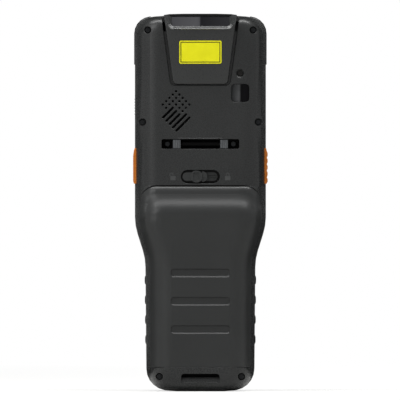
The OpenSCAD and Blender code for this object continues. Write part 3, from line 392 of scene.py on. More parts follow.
def weldedCopy(nodeName):
    # a CAD node's loose triangles joined into whole faces
    mesh = nodes[nodeName].data.copy()
    for name in ("custom_normal", "sharp_edge", "sharp_face"):
        if name in mesh.attributes:
            mesh.attributes.remove(mesh.attributes[name])
    work = bmesh.new()
    work.from_mesh(mesh)
    bmesh.ops.remove_doubles(work, verts=work.verts, dist=weld["distance"] * mm)
    bmesh.ops.dissolve_limit(work, angle_limit=math.radians(weld["flatDegrees"]), verts=work.verts,
                             edges=work.edges)
    smoothBelow(work, weld["sharpDegrees"])
    work.to_mesh(mesh)
    work.free()
    return mesh


def solidBoxes(nodeName):
    # low and high corner of each separate solid in a CAD node
    work = bmesh.new()
    work.from_mesh(nodes[nodeName].data)
    bmesh.ops.remove_doubles(work, verts=work.verts, dist=weld["distance"] * mm)
    left, boxes = set(work.verts), []
    while left:
        group, waiting = set(), [left.pop()]
        while waiting:
            vert = waiting.pop()
            group.add(vert)
            for edge in vert.link_edges:
                other = edge.other_vert(vert)
                if other in left:
                    left.discard(other)
                    waiting.append(other)
        places = [vert.co for vert in group]
        boxes.append(([min(place[i] for place in places) for i in range(3)],
                      [max(place[i] for place in places) for i in range(3)]))
    work.free()
    return sorted(boxes)


def roundEdges(piece, widthMm, degrees=40, segments=2):
    edges = piece.modifiers.new("roundEdges", "BEVEL")
    edges.limit_method = "ANGLE"
    edges.angle_limit = math.radians(degrees)
    edges.width = widthMm * mm
    edges.segments = segments


def dress(nodeName, pieceName, material, slot, edgeMm, evenFaces=True):
    # a welded copy with small round edges and smooth faces takes the CAD node's place
    mesh = weldedCopy(nodeName)
    piece = addPiece(pieceName, mesh, nodes[nodeName]["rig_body"], material)
    if edgeMm:
        roundEdges(piece, edgeMm)
    if evenFaces:
        piece.modifiers.new("flatFaces", "WEIGHTED_NORMAL").keep_sharp = True
    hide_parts(nodeName)


dressed = [
    # CAD node, piece, material, slot, radius of its edges in mm, False where all is curved
    ("rear_housing", "rearShell", housingPlastic, "housing_plastic", 0),
    ("front_housing", "frontShell", housingPlastic, "housing_plastic", 0),
    ("scanner_hood", "hoodShell", hoodPlastic, "housing_plastic", 0),
    ("battery_door", "doorShell", doorPlastic, "housing_plastic", 0, False),
    ("latch_slider", "latchSlider", latchPlastic, "latch_plastic", 0.08),
    ("side_key_left", "triggerLeft", orangePlastic, "orange_plastic", 0.2),
    ("side_key_right", "triggerRight", orangePlastic, "orange_plastic", 0.15),
    ("corner_bumpers", "cornerBumpers", blackRubber, "black_rubber", 0.15),
    ("side_grips", "sideGrips", blackRubber, "black_rubber", 0.12),
    ("strap_bar", "strapPosts", postZinc, "zinc", 0.15),
]
for row in dressed:
    dress(*row)
print("dressed parts:", len(dressed))

crest = {   # in mm: the slope at the top of the battery door
    "low": 85, "high": 102.9, "side": 32.5,   # where the softening ends, in z and to both sides
    "reach": 3.8, "drop": 1.2,   # how far around each point the mean is taken, and its shift up
    "fade": 3.6,                 # width over which the softening fades out
    "strip": 0.5,                # height of the strips that the surface is cut into
    "columns": (14, 31),         # x of the upright cuts on each side, the last one left out
    "roll": 2.4, "rollDepth": 0.65,   # how the top edge rolls in
    "skin": 0.03, "inner": -5,   # only the outer skin moves, and only a wall farther out counts
    "sharpDegrees": 35,
}
outside, inwards = -0.05, Vector((0, 1, 0))   # rays start behind the object, in metres, and run to +Y


def crestCuts(work, top):
    # strips across the slope and columns towards its sides
    low, strip = crest["low"] * mm, crest["strip"] * mm
    cuts = [(Vector((0, 0, low + i * strip)), Vector((0, 0, 1))) for i in range(int((top - low) / strip))]
    cuts += [(Vector((side * x * mm, 0, 0)), Vector((1, 0, 0)))
             for x in range(*crest["columns"]) for side in (-1, 1)]
    for place, normal in cuts:
        faces = [face for face in work.faces if max(vert.co.z for vert in face.verts) > low]
        cutting = {item for face in faces for item in (*face.verts, *face.edges, face)}
        bmesh.ops.bisect_plane(work, geom=list(cutting), plane_co=place, plane_no=normal, dist=1e-7)


def softenCrest(mesh):
    # blends the slopes of the door's crest into one round form and rolls its top edge in:
    # each point moves to the mean depth around it, weighted towards the middle
    low, high, side, reach, drop, fade = (
        crest[key] * mm for key in ("low", "high", "side", "reach", "drop", "fade"))
    top = max(vert.co.z for vert in mesh.vertices)
    work = bmesh.new()
    work.from_mesh(mesh)
    surface = BVHTree.FromBMesh(work)
    crestCuts(work, top)
    around = [(dx * reach, dz * reach, (1 - dx * dx) * (1 - dz * dz))
              for dx in (-0.75, -0.4, 0, 0.4, 0.75) for dz in [i / 7 for i in range(-6, 7)]]
    full = sum(part for dx, dz, part in around)
    moves = []
    for vert in work.verts:
        x, y, z = vert.co
        hit = surface.ray_cast(Vector((x, outside, z - 1e-6)), inwards)[0]
        if z < low or hit is None or abs(hit.y - y) > crest["skin"] * mm:
            continue
        total = weight = 0
        for dx, dz, part in around:
            near = surface.ray_cast(Vector((x + dx, outside, z + dz + drop)), inwards)[0]
            if near is not None and near.y < crest["inner"] * mm:
                total += near.y * part
                weight += part
        share = min(1, max(0, (z - low) / fade), max(0, (high - z) / fade))
        share = min(share, max(0, 2 * weight / full - 1), max(0, (side - abs(x)) / fade))
        moved = y + (total / weight - y) * share * share * (3 - 2 * share) if weight else y
        over = (z - top) / (crest["roll"] * mm) + 1
        if over > 0:
            moved += crest["rollDepth"] * mm * (1 - math.sqrt(max(0, 1 - over ** 2)))
        moves.append((vert, moved))
    for vert, moved in moves:
        vert.co.y = moved
    bmesh.ops.triangulate(work, faces=[f for f in work.faces if max(v.co.z for v in f.verts) > low])
    smoothBelow(work, crest["sharpDegrees"])
    work.to_mesh(mesh)
    work.free()


softenCrest(bpy.data.objects["doorShell"].data)
print("door crest")


def paintShadeInside(pieceName, low, high, wanted=lambda normal: True):
    # paints shade: the faces whose middle is inside the box, corners in mm, turn black as a recess in shadow
    mesh = bpy.data.objects[pieceName].data
    mesh.materials.append(paintedShadeBlack)
    number = len(mesh.materials) - 1
    for face in mesh.polygons:
        inside = all(low[i] * mm < face.center[i] < high[i] * mm for i in range(3))
        if inside and wanted(face.normal):
            face.material_index = number


def facesDown(normal):
    return normal.z < -0.3


def standsUpright(normal):
    return abs(normal.y) < 0.35


scoop = {"half": 11, "top": 9.2, "low": 6, "mouth": -16.6, "floor": -8,
         "deepLow": 6.9, "deepMouth": -13.2}   # the cut in the bottom band, in mm
posts = {"inner": 9.8, "outer": 14.0}   # the bright part of the strap posts, in mm from the middle
recessMouth = backFace + 0.15
far = 999   # mm, past every face
strapLow, strapHigh = inMm(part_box("strap_bar"))
doorLow, doorHigh = inMm(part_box("battery_door"))
# painted shade: each box is a little larger than its recess, and its faces turn black where shade falls
paintShadeInside("rearShell", (strapLow[0] - 0.6, recessMouth, strapLow[2] - 0.5),
            (strapHigh[0] + 0.6, strapHigh[1] + 0.3, strapHigh[2] + 0.5))   # strap pocket
slotHalf = slotShape["radius"] + 0.15
paintShadeInside("rearShell", (slotShape["left"] - 0.1, recessMouth, latchZ - slotHalf),
            (slotShape["right"] + 0.1, slotShape["floor"], latchZ + slotHalf))   # walls of the latch slot
paintShadeInside("rearShell", (-scoop["half"], scoop["mouth"], scoop["low"]),
            (scoop["half"], scoop["floor"], scoop["top"]), facesDown)   # under the scoop's edge
paintShadeInside("rearShell", (-scoop["half"], scoop["deepMouth"], scoop["deepLow"]),
            (scoop["half"], scoop["floor"], scoop["top"]))   # floor of the scoop's deep end
paintShadeInside("rearShell", (doorLow[0] - 0.5, doorLow[1], doorLow[2] - 0.5),
            (doorHigh[0] + 0.5, doorHigh[1], doorHigh[2] + 0.6), standsUpright)   # seam round the door
paintShadeInside("strapPosts", (-far, -far, 0), (-posts["outer"], far, far))   # painted shade on the feet and the rod deep in the pocket; only the posts stay bright
paintShadeInside("strapPosts", (posts["outer"], -far, 0), (far, far, far))
paintShadeInside("strapPosts", (-posts["inner"], -far, 0), (posts["inner"], far, far))

# inner and small parts keep their CAD shape and get their finish
finishes = {
    "housing_seal": sealFoam, "door_seal": sealFoam, "scan_window": scanAcrylic,
    "scan_engine": meshSteel, "blank_label": labelFilm, "camera_window": cameraAcrylic,
    # the speaker's front, seen through the gauze, takes the black of painted shade
    "camera_module": meshSteel, "flash_lens": smokedLens, "speaker": paintedShadeBlack,
    "screw_inserts": goldPlate, "latch_bolt": blackSteel, "battery_pack": batteryWrap,
    "battery_contacts": goldPlate, "mid_frame": frameAlloy, "main_board": boardLacquer,
    "board_shields": shieldTin, "display_panel": displayGlass, "touch_glass": coverGlass,
    "keypad_membrane": sealFoam, "keypad_board": boardLacquer, "earpiece": meshSteel,
    "status_light": milkyLens, "side_switches": shieldTin, "usb_port": shieldTin,
    "antenna": blackRubber, "vibration_motor": shieldTin, "card_socket": shieldTin,
}
for nodeName, material in finishes.items():
    nodes[nodeName].data.materials.clear()
    nodes[nodeName].data.materials.append(material)
print("finishes")


def newTree(name, sizes):
    # sizes: name -> default of each named input in metres, or a whole number for a count
    tree = bpy.data.node_groups.new(name, "GeometryNodeTree")
    tree.interface.new_socket("Geometry", in_out="INPUT", socket_type="NodeSocketGeometry")
    for key, value in sizes.items():
        kind = "NodeSocketInt" if isinstance(value, int) else "NodeSocketFloat"
        tree.interface.new_socket(key, in_out="INPUT", socket_type=kind).default_value = value
    tree.interface.new_socket("Geometry", in_out="OUTPUT", socket_type="NodeSocketGeometry")
    return tree, addNode(tree, "NodeGroupInput").outputs


def endTree(tree, geometry, material):
    real = addNode(tree, "GeometryNodeRealizeInstances", [geometry])
    painted = addNode(tree, "GeometryNodeSetMaterial", {0: real, "Material": material})
    addNode(tree, "NodeGroupOutput", [painted])


def grow(tree, pieceName, sizes, points=(), joined=False):
    # runs the tree on a mesh of points, or of one line through them, and returns a plain mesh.
    # a point may carry a length after its place
    mesh = bpy.data.meshes.new(pieceName)
    lines = [(i, i + 1) for i in range(len(points) - 1)] if joined else []
    mesh.from_pydata([point[:3] for point in points], lines, [])
    if points and len(points[0]) > 3:
        lengths = mesh.attributes.new("length", "FLOAT", "POINT").data
        lengths.foreach_set("value", [point[3] for point in points])
    holder = newObject(pieceName, mesh)
    modifier = holder.modifiers.new("build", "NODES")
    modifier.node_group = tree
    for item in tree.interface.items_tree:
        if item.in_out == "INPUT" and item.name in sizes:
            modifier[item.identifier] = sizes[item.name]
    result = plainMesh(holder)
    result.name = pieceName
    return result


def smoothMesh(mesh, degrees, turnOut=False):
    work = bmesh.new()
    work.from_mesh(mesh)
    if turnOut:
        bmesh.ops.recalc_face_normals(work, faces=work.faces)
    bmesh.ops.remove_doubles(work, verts=work.verts, dist=weld["fine"] * mm)
    smoothBelow(work, degrees)
    work.to_mesh(mesh)
    work.free()
    return mesh


def screwTree(sizes):
    # a tapered head with a cross slot, facing -Y, on a shank as long as each point's own length
    tree, given = newTree("crossHeadScrews", sizes)
    radius, height = given["Head radius"], given["Head height"]
    crown = addNode(tree, "ShaderNodeMath", [radius, 0.8], operation="MULTIPLY")
    head = addNode(tree, "GeometryNodeMeshCone", {
        "Vertices": 40, "Radius Top": crown, "Radius Bottom": radius, "Depth": height})
    lifted = addNode(tree, "ShaderNodeCombineXYZ", {"Z": height})
    slots = []
    for shares in ((1.25, 0.3, 1.1), (0.3, 1.25, 1.1)):   # a slot's size as shares of the head's
        sides = [addNode(tree, "ShaderNodeMath", [size, share], operation="MULTIPLY")
                 for size, share in zip((radius, radius, height), shares)]
        cube = addNode(tree, "GeometryNodeMeshCube", [addNode(tree, "ShaderNodeCombineXYZ", sides)])
        slots.append(addNode(tree, "GeometryNodeTransform", {"Geometry": cube, "Translation": lifted}))
    cross = addNode(tree, "GeometryNodeJoinGeometry", {0: slots})
    cut = addNode(tree, "GeometryNodeMeshBoolean", {"Mesh 1": head, "Mesh 2": cross},
                  operation="DIFFERENCE")
    upright = (math.radians(90), 0, 0)
    facing = addNode(tree, "GeometryNodeTransform", {"Geometry": cut, "Rotation": upright})
    heads = addNode(tree, "GeometryNodeInstanceOnPoints", {
        "Points": given["Geometry"], "Instance": facing})
    shank = addNode(tree, "GeometryNodeMeshCylinder", {
        "Vertices": 20, "Radius": given["Shank radius"], "Depth": 1.0})
    laid = addNode(tree, "GeometryNodeTransform", {   # it starts just inside the head
        "Geometry": shank, "Rotation": upright, "Translation": (0, 0.48, 0)})
    length = addNode(tree, "GeometryNodeInputNamedAttribute", {"Name": "length"}, data_type="FLOAT")
    scale = addNode(tree, "ShaderNodeCombineXYZ", [1.0, length, 1.0])
    shanks = addNode(tree, "GeometryNodeInstanceOnPoints", {
        "Points": given["Geometry"], "Instance": laid, "Scale": scale})
    endTree(tree, addNode(tree, "GeometryNodeJoinGeometry", {0: [heads, shanks]}), blackSteel)
    return tree


def addScrews(nodeName, pieceName, sizes):
    spots = []
    for low, high in solidBoxes(nodeName):
        spots.append(((low[0] + high[0]) / 2, low[1] + sizes["Head height"],
                      (low[2] + high[2]) / 2, high[1] - low[1] - sizes["Head height"]))
    mesh = smoothMesh(grow(screwTree(sizes), pieceName, sizes, spots), 30)
    piece = addPiece(pieceName, mesh, nodes[nodeName]["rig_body"], None)
    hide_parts(nodeName)


addScrews("housing_screws", "housingScrews",
          {"Head radius": 1.62 * mm, "Head height": 1.3 * mm, "Shank radius": 0.95 * mm})
addScrews("strap_bar_screws", "strapScrews",
          {"Head radius": 1.45 * mm, "Head height": 1.3 * mm, "Shank radius": 0.72 * mm})


def addGauze(nodeName, pieceName, sizes):
    # black steel gauze behind the sound holes: a round sheet of crossing wires
    tree, given = newTree("wovenGauze", sizes)
    side = addNode(tree, "ShaderNodeMath", [given["Radius"], 2.0], operation="MULTIPLY")
    wiresAcross = addNode(tree, "ShaderNodeMath", [side, given["Pitch"]], operation="DIVIDE")
    count = addNode(tree, "FunctionNodeFloatToInt", [wiresAcross])
    sheet = addNode(tree, "GeometryNodeMeshGrid", {
        "Size X": side, "Size Y": side, "Vertices X": count, "Vertices Y": count})
    reach = addNode(tree, "ShaderNodeVectorMath", [addNode(tree, "GeometryNodeInputPosition")],
                    operation="LENGTH").outputs["Value"]
    edge = addNode(tree, "ShaderNodeMath", [given["Radius"], given["Wire"]], operation="SUBTRACT")
    beyond = addNode(tree, "FunctionNodeCompare", [reach, edge], operation="GREATER_THAN")
    disc = addNode(tree, "GeometryNodeDeleteGeometry", [sheet, beyond])
    wires = addNode(tree, "GeometryNodeMeshToCurve", [disc])
    profile = addNode(tree, "GeometryNodeCurvePrimitiveCircle", {
        "Resolution": 5, "Radius": given["Wire"]})
    drawn = addNode(tree, "GeometryNodeCurveToMesh", {
        0: wires, "Profile Curve": profile, "Fill Caps": True})
    centre = addNode(tree, "ShaderNodeCombineXYZ", [given["X"], given["Y"], given["Z"]])
    placed = addNode(tree, "GeometryNodeTransform", {
        "Geometry": drawn, "Rotation": (math.radians(90), math.radians(45), 0),
        "Translation": centre})
    endTree(tree, placed, meshSteel)
    mesh = grow(tree, pieceName, sizes)
    piece = addPiece(pieceName, mesh, nodes[nodeName]["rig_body"], None)
    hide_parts(nodeName)


meshLow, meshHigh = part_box("speaker_mesh")
gauze = {"Radius": (meshHigh[0] - meshLow[0]) / 2, "Pitch": 0.55 * mm, "Wire": 0.13 * mm}
for axis, name in enumerate("XYZ"):
    gauze[name] = (meshLow[axis] + meshHigh[axis]) / 2
addGauze("speaker_mesh", "speakerGauze", gauze)


def ridgeTree(sizes, material):
    # sweeps a low ridge along the path that the points draw: its crest stands proud, one side
    # falls by Rise and the other by Drop
    tree, given = newTree("ridge", sizes)
    path = addNode(tree, "GeometryNodeMeshToCurve", [given["Geometry"]])
    facing = addNode(tree, "GeometryNodeSetCurveNormal", {0: path, "Normal": (0, -1, 0)}, mode="FREE")
    corners = [(given["Proud"], 0.0), (given["Sunk"], given["Rise"]), (given["Sunk"], 0.0),
               (given["Sunk"], given["Drop"])]
    profile = addNode(tree, "GeometryNodeCurvePrimitiveQuadrilateral", {
        "Point " + str(number + 1): addNode(tree, "ShaderNodeCombineXYZ", corner)
        for number, corner in enumerate(corners)}, mode="POINTS")
    swept = addNode(tree, "GeometryNodeCurveToMesh", {
        0: facing, "Profile Curve": profile, "Fill Caps": True})
    endTree(tree, swept, material)
    return tree


def addRidge(pieceName, nodeName, path, sizesMm, material):
    # path: points in x and z, in mm, laid on the CAD surface as seen from behind
    work = bmesh.new()
    work.from_mesh(nodes[nodeName].data)
    surface = BVHTree.FromBMesh(work)
    work.free()
    spots = []
    for x, z in path:
        hit = surface.ray_cast(Vector((x * mm, outside, z * mm)), inwards)[0]
        spots.append((x * mm, hit.y, z * mm))
    sizes = {key: value * mm for key, value in sizesMm.items()}
    mesh = smoothMesh(grow(ridgeTree(sizes, material), pieceName, sizes, spots, True), 25, True)
    addPiece(pieceName, mesh, nodes[nodeName]["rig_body"], None)


lip = {"low": 182.2, "half": 16.3, "corner": 2.9, "high": 187.6, "flare": 0.9}   # in mm


def lipPath():
    # up one cheek of the scan window, round the corner, along under it and up the other cheek
    low, half, r = lip["low"], lip["half"], lip["corner"]
    cheek = [(half + lip["flare"], lip["high"]), (half + 0.3, low + r + 0.6)]
    corner = [(half - r + r * math.cos(math.radians(a)), low + r - r * math.sin(math.radians(a)))
              for a in range(0, 91, 15)]
    right = cheek + corner
    return [(-x, z) for x, z in right] + [(x, z) for x, z in reversed(right)]


addRidge("windowLip", "scanner_hood", lipPath(),
         {"Proud": 0.45, "Sunk": -0.9, "Rise": -1.35, "Drop": 1.2}, lipPlastic)
pocketEdge = {"start": -11.6, "step": 3.8, "points": 7, "z": 127.15}   # above the strap pocket, in mm
pocketPath = [(pocketEdge["start"] + pocketEdge["step"] * i, pocketEdge["z"])
              for i in range(pocketEdge["points"])]
addRidge("pocketLip", "rear_housing", pocketPath,
         {"Proud": 0.22, "Sunk": -0.3, "Rise": -0.5, "Drop": 0.3}, housingPlastic)


def addPostRidges(pieceName, nodeName, sizes, places):
    # fine upright ridges on the two strap posts, a row on each
    low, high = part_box(nodeName)
    sizes["Height"] = high[2] - low[2] - 0.3 * mm
    tree, given = newTree("ridgeRows", sizes)
    rod = addNode(tree, "GeometryNodeMeshCylinder", {
        "Vertices": 12, "Radius": given["Radius"], "Depth": given["Height"]})
    rods = addNode(tree, "GeometryNodeInstanceOnPoints", {
        "Points": given["Geometry"], "Instance": rod})
    endTree(tree, rods, postZinc)
    spots = [(x * mm, low[1] + 0.08 * mm, (low[2] + high[2]) / 2) for x in places]   # part sunk
    mesh = smoothMesh(grow(tree, pieceName, sizes, spots), 40)
    addPiece(pieceName, mesh, nodes[nodeName]["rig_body"], None)


postRow = {"middle": 11.9, "pitch": 1.15}   # in mm
addPostRidges("postRidges", "strap_bar", {"Radius": 0.36 * mm},
              [side * (postRow["middle"] + postRow["pitch"] * i) for side in (-1, 1) for i in (-1, 0, 1)])


def addPins(nodeName, pieceName):
    # gold pins with round tips, one on each point, pointing down
    boxes = solidBoxes(nodeName)
    low, high = boxes[0]
    radius = (high[0] - low[0]) / 2
    sizes = {"Pin radius": radius, "Pin length": high[2] - low[2] - radius}
    tree, given = newTree("contactPins", sizes)
    tip = addNode(tree, "GeometryNodeMeshUVSphere", {
        "Segments": 20, "Rings": 10, "Radius": given["Pin radius"]})
    inside = addNode(tree, "ShaderNodeMath", [given["Pin radius"], 0.96], operation="MULTIPLY")
    stem = addNode(tree, "GeometryNodeMeshCylinder", {
        "Vertices": 20, "Radius": inside, "Depth": given["Pin length"]})
    half = addNode(tree, "ShaderNodeMath", [given["Pin length"], 0.5], operation="MULTIPLY")
    lifted = addNode(tree, "GeometryNodeTransform", {
        "Geometry": stem, "Translation": addNode(tree, "ShaderNodeCombineXYZ", {"Z": half})})
    pin = addNode(tree, "GeometryNodeJoinGeometry", {0: [lifted, tip]})
    pins = addNode(tree, "GeometryNodeInstanceOnPoints", {
        "Points": given["Geometry"], "Instance": pin})
    endTree(tree, pins, goldPlate)
    spots = [((low[0] + high[0]) / 2, (low[1] + high[1]) / 2, low[2] + radius) for low, high in boxes]
    mesh = smoothMesh(grow(tree, pieceName, sizes, spots), 40)
    piece = addPiece(pieceName, mesh, nodes[nodeName]["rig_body"], None)
    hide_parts(nodeName)


addPins("charge_contacts", "contactPins")
print("screws, gauze, ridges and pins")


def addFlap(nodeName, pieceName, sizes):
    # rubber port flap with rounded edges, and a thumb grip of fine ribs across it
    mesh = weldedCopy(nodeName)
    low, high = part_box(nodeName)
    tree, given = newTree("flapRibs", sizes)
    # the first rib lies on the outer face, 0.3 of the way up
    first = (low[0] + 0.02 * mm, (low[1] + high[1]) / 2, low[2] + 0.3 * (high[2] - low[2]))
    line = addNode(tree, "GeometryNodeMeshLine", {
        "Count": given["Count"], "Start Location": first,
        "Offset": addNode(tree, "ShaderNodeCombineXYZ", {"Z": given["Pitch"]})})
    half = addNode(tree, "ShaderNodeMath", [given["Length"], 0.5], operation="MULTIPLY")
    back = addNode(tree, "ShaderNodeMath", [given["Length"], -0.5], operation="MULTIPLY")
    path = addNode(tree, "GeometryNodeCurvePrimitiveLine", {
        "Start": addNode(tree, "ShaderNodeCombineXYZ", {"Y": back}),
        "End": addNode(tree, "ShaderNodeCombineXYZ", {"Y": half})})
    profile = addNode(tree, "GeometryNodeCurvePrimitiveCircle", {
        "Resolution": 12, "Radius": given["Rib radius"]})
    rib = addNode(tree, "GeometryNodeCurveToMesh", {
        0: path, "Profile Curve": profile, "Fill Caps": True})
    ribs = addNode(tree, "GeometryNodeInstanceOnPoints", {"Points": line, "Instance": rib})
    endTree(tree, ribs, blackRubber)
    body = nodes[nodeName]["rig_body"]
    piece = addPiece(pieceName, mesh, body, blackRubber)
    roundEdges(piece, 0.35, 30, 3)
    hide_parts(nodeName)
    ribMesh = smoothMesh(grow(tree, pieceName + "Ribs", sizes), 40)
    addPiece(pieceName + "Ribs", ribMesh, body, None)


addFlap("port_cover", "portFlap",
        {"Count": 6, "Pitch": 1.5 * mm, "Length": 4.6 * mm, "Rib radius": 0.25 * mm})
print("port flap")


def bar(x, z, w, h, degrees=0, parts=4):
    # flat signs are drawn in x and z in mm, as their viewer sees them. A bar is cut across in a
    # few parts, so that it can follow a crowned cap
    turned = Matrix.Rotation(math.radians(degrees), 2)
    points = [Vector((x, z)) + turned @ Vector((w * (i / parts - 0.5), side * h / 2))
              for i in range(parts + 1) for side in (-1, 1)]
    return points, [(2 * i, 2 * i + 2, 2 * i + 3, 2 * i + 1) for i in range(parts)]


def ring(x, z, radius, width, start, end, steps=20):
    points, faces = [], []
    for i in range(steps + 1):
        angle = math.radians(start + (end - start) * i / steps)
        for reach in (radius, radius - width):
            points.append(Vector((x + reach * math.cos(angle), z + reach * math.sin(angle))))
        if i:
            faces.append((2 * i - 2, 2 * i, 2 * i + 1, 2 * i - 1))
    return points, faces


def arrowHead(x, z, size, degrees):
    turned = Matrix.Rotation(math.radians(degrees), 2)
    corners = [Vector((x, z)) + turned @ Vector(p) * size for p in ((-0.5, -0.6), (0.5, 0), (-0.5, 0.6))]
    return corners, [(0, 1, 2)]


def figure(text, sizeMm):
    # a printed figure as flat outlines, centred
    curve = bpy.data.curves.new("figure", "FONT")
    curve.body = text
    curve.size = sizeMm
    curve.align_x = "CENTER"
    curve.align_y = "CENTER"
    curve.resolution_u = 4
    mesh = plainMesh(newObject("figure", curve))
    return [vert.co for vert in mesh.vertices], [tuple(face.vertices) for face in mesh.polygons]


ink = {"sunk": -0.05, "layer": 0.003}   # mm into the surface, and between shapes that overlap


def addPrint(name, shapes, toPlace, thickMm, body, material):
    # toPlace turns a drawn point and a height above the surface, in mm, into a place in metres
    work = bmesh.new()
    for number, (points, faces) in enumerate(shapes):
        flat = [work.verts.new((point[0], point[1], ink["sunk"])) for point in points]
        drawn = [work.faces.new([flat[i] for i in face]) for face in faces]
        for item in bmesh.ops.extrude_face_region(work, geom=drawn)["geom"]:
            if isinstance(item, bmesh.types.BMVert):
                item.co.z = thickMm + ink["layer"] * number
    bmesh.ops.recalc_face_normals(work, faces=work.faces)
    for vert in work.verts:
        vert.co = toPlace(vert.co, vert.co.z)
    bmesh.ops.recalc_face_normals(work, faces=work.faces)
    mesh = bpy.data.meshes.new(name)
    work.to_mesh(mesh)
    work.free()
    addPiece(name, mesh, body, material)


keySigns = {
    "key_star": [bar(0, 0, 0.5, 3.4, angle) for angle in (0, 60, 120)],
    "key_hash": [bar(-0.7, 0, 0.4, 3.4), bar(0.7, 0, 0.4, 3.4), bar(0, 0.7, 3.2, 0.4),
                 bar(0, -0.7, 3.2, 0.4)],
    "key_back": [bar(0.5, 0, 2.6, 0.5), arrowHead(-1.2, 0, 1.7, 180)],
    "key_enter": [bar(0.4, -0.4, 2.8, 0.5), bar(1.6, 0.5, 0.5, 1.6), arrowHead(-1.3, -0.4, 1.6, 180)],
    "key_power": [ring(0, -0.1, 1.6, 0.45, 120, 420), bar(0, 1.1, 0.45, 1.7)],
    "key_soft_left": [bar(0, 0, 3.6, 0.6)],
    "key_soft_right": [bar(0, 0, 3.6, 0.6)],
    "key_scan": [ring(0, 0, 3.4, 0.5, 0, 359.9, 40)],
}
keyPrint = {"figureSize": 4.6, "thick": 0.04, "crownRadius": 40, "edge": 0.2}   # in mm
keyNames = sorted(name for name in nodes if name.startswith("key_"))
for name in keyNames:
    pieceName = "cap" + "".join(part.capitalize() for part in name.split("_")[1:])
    orange = name == "key_scan"
    dress(name, pieceName, orangePlastic if orange else keyPlastic,
          "orange_plastic" if orange else "grey_keys", keyPrint["edge"])
    low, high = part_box(name)
    middle = Vector(((low[0] + high[0]) / 2, high[1], (low[2] + high[2]) / 2))

    def onCap(point, height):
        # the user's right is at -X, and the cap is crowned across its width
        drop = point[0] ** 2 / (2 * keyPrint["crownRadius"])
        return middle + Vector((-point[0], height - drop, point[1])) * mm

    shapes = keySigns.get(name) or [figure(name[-1], keyPrint["figureSize"])]
    addPrint(pieceName + "Print", shapes, onCap, keyPrint["thick"], nodes[name]["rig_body"], keyInk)
print("keys:", len(keyNames))

lockMark = {"openX": -13.8, "shutX": 13.7, "width": 2.7, "height": 2.1, "shackle": 0.95,
            "line": 0.38, "aside": -0.75, "proud": 0.05}   # in mm, beside the latch


def lockShapes(x, shift):
    # a body with its shackle over it, which stands aside and has one leg in the air when open
    w, h, r, line = (lockMark[key] for key in ("width", "height", "shackle", "line"))
    shoulder = h / 2 - 0.75
    rightLeg = (0.55, 0.4) if shift else (0.35, 0.7)   # middle above the shoulder, and length
    return [bar(x, shoulder - h / 2, w, h),
            ring(x + shift, shoulder + 0.7, r, line, 0, 180, 14),
            bar(x + shift - r + line / 2, shoulder + 0.35, line, 0.7),
            bar(x + shift + r - line / 2, shoulder + rightLeg[0], line, rightLeg[1])]


def onBack(point, height):
    return Vector((point[0], backFace - height, latchZ + point[1])) * mm


locks = lockShapes(lockMark["openX"], lockMark["aside"]) + lockShapes(lockMark["shutX"], 0)
addPrint("lockMarks", locks, onBack, lockMark["proud"], "housing", markPaint)
print("lock marks")


def studioWorld(level):
    # even light on the object, while the camera, gloss and glass see a white background
    world = bpy.data.worlds.new("studio")
    scene.world = world
    tree = emptyTree(world)
    path = addNode(tree, "ShaderNodeLightPath").outputs
    seen = addNode(tree, "ShaderNodeMath", [path["Is Camera Ray"], path["Is Glossy Ray"]],
                   operation="MAXIMUM")
    seen = addNode(tree, "ShaderNodeMath", [seen, path["Is Transmission Ray"]], operation="MAXIMUM")
    soft = addNode(tree, "ShaderNodeBackground", [grey(1), level])
    white = addNode(tree, "ShaderNodeBackground", [grey(1), 1.0])
    mixed = addNode(tree, "ShaderNodeMixShader", [seen, soft, white])
    addNode(tree, "ShaderNodeOutputWorld", [mixed])


def addStagePiece(name, corners, material):
    mesh = bpy.data.meshes.new(name)
    mesh.from_pydata(corners, [], [(0, 1, 2, 3)])
    mesh.materials.append(material)
    return newObject(name, mesh)


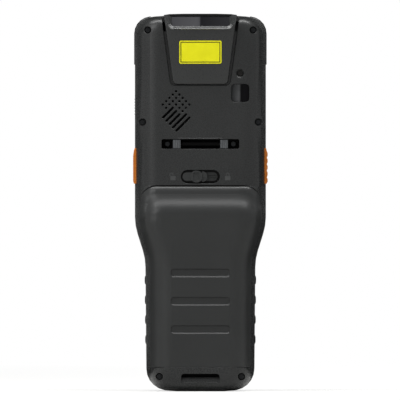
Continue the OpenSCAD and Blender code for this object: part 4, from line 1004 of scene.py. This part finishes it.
def addFloor(size, whiteShare, fadeFrom, fadeTo):
    # a pale floor that keeps the object's soft shadow, and turns into the white background
    # farther out
    material, tree, place = openMaterial("painted_floor")
    path = addNode(tree, "ShaderNodeLightPath").outputs
    reach = addNode(tree, "ShaderNodeVectorMath", [place], operation="LENGTH").outputs["Value"]
    white = addNode(tree, "ShaderNodeMapRange", {
        "Value": reach, "From Min": fadeFrom, "From Max": fadeTo, "To Min": whiteShare, "To Max": 1.0})
    share = addNode(tree, "ShaderNodeMath", [path["Is Camera Ray"], white], operation="MULTIPLY")
    paint = addNode(tree, "ShaderNodeBsdfDiffuse", {"Color": linear("#d6d6d4")})
    glow = addNode(tree, "ShaderNodeEmission", {"Color": grey(1), "Strength": 1.0})
    mixed = addNode(tree, "ShaderNodeMixShader", [share, paint, glow])
    addNode(tree, "ShaderNodeOutputMaterial", [mixed])
    half = size / 2
    floor = addStagePiece("floor", [(-half, -half, 0), (half, -half, 0), (half, half, 0), (-half, half, 0)],
                          material)
    floor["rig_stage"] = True


def addGlossFlag(name, corners, tone="#101010"):
    # a dark card beside the set, seen only in reflections, keeps glare off the dark edges
    material = bpy.data.materials.new("velvet_card")
    tree = emptyTree(material)
    velvet = addNode(tree, "ShaderNodeBsdfDiffuse", {"Color": linear(tone)})
    addNode(tree, "ShaderNodeOutputMaterial", [velvet])
    flag = addStagePiece(name, corners, material)
    flag.visible_camera = False
    flag.visible_diffuse = False
    flag.visible_shadow = False
    flag.visible_transmission = False
    flag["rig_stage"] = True


def addSoftbox(name, place, target, size, watts):
    light = bpy.data.lights.new(name, "AREA")
    light.shape = "RECTANGLE"
    light.size, light.size_y = size
    light.energy = watts
    lamp = newObject(name, light)
    lamp.location = place
    lamp.rotation_euler = (Vector(target) - Vector(place)).to_track_quat("-Z", "Y").to_euler()


def straightCamera(lens, widthMm, centreMm, planeMm):
    # a very long lens, so that the back is seen nearly without perspective
    camera = bpy.data.cameras.new("camera")
    camera.lens = lens
    camera.sensor_width = 36
    camera.clip_start, camera.clip_end = 0.1, 40
    holder = newObject("camera", camera)
    distance = widthMm * lens / camera.sensor_width
    holder.location = (centreMm[0] * mm, (planeMm - distance) * mm, centreMm[1] * mm)
    holder.rotation_euler = (math.radians(90), 0, 0)
    scene.camera = holder


middle = (0, 0, 0.1)   # of the object, in metres like all places in the studio
softboxes = {   # place, what it faces, size and watts
    "overheadStrip": ((0, -0.2, 1.0), (0, -0.2, 0), (1.6, 0.24), 18),
    "keyLight": ((-0.78, -0.72, 0.55), middle, (0.5, 0.7), 4.8),
    "frontLight": ((0.45, 0.9, 0.5), middle, (0.6, 0.6), 7),
}
studioWorld(level=0.2)
addFloor(size=3.0, whiteShare=0.6, fadeFrom=0.15, fadeTo=0.9)
addGlossFlag("footFlag", [(-0.5, 0.03, 0.0005), (0.5, 0.03, 0.0005), (0.5, 0.7, 0.0005), (-0.5, 0.7, 0.0005)])
for name, settings in softboxes.items():
    addSoftbox(name, *settings)
for side, name, tone in ((-1, "sideFlagLeft", "#646464"), (1, "sideFlagRight", "#242424")):
    addGlossFlag(name, [(side * 0.12, 0.7, 0), (side * 0.45, 0.1, 0), (side * 0.45, 0.1, 0.8),
                        (side * 0.12, 0.7, 0.8)], tone)
addGlossFlag("topFlag", [(-0.6, 0.12, 0.95), (0.6, 0.12, 0.95), (0.6, 0.6, 0.35), (-0.6, 0.6, 0.35)])
straightCamera(lens=1000, widthMm=201.6, centreMm=(-0.2, 96.2), planeMm=4)
scene.view_settings.view_transform = "Standard"
print("studio")

low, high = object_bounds()
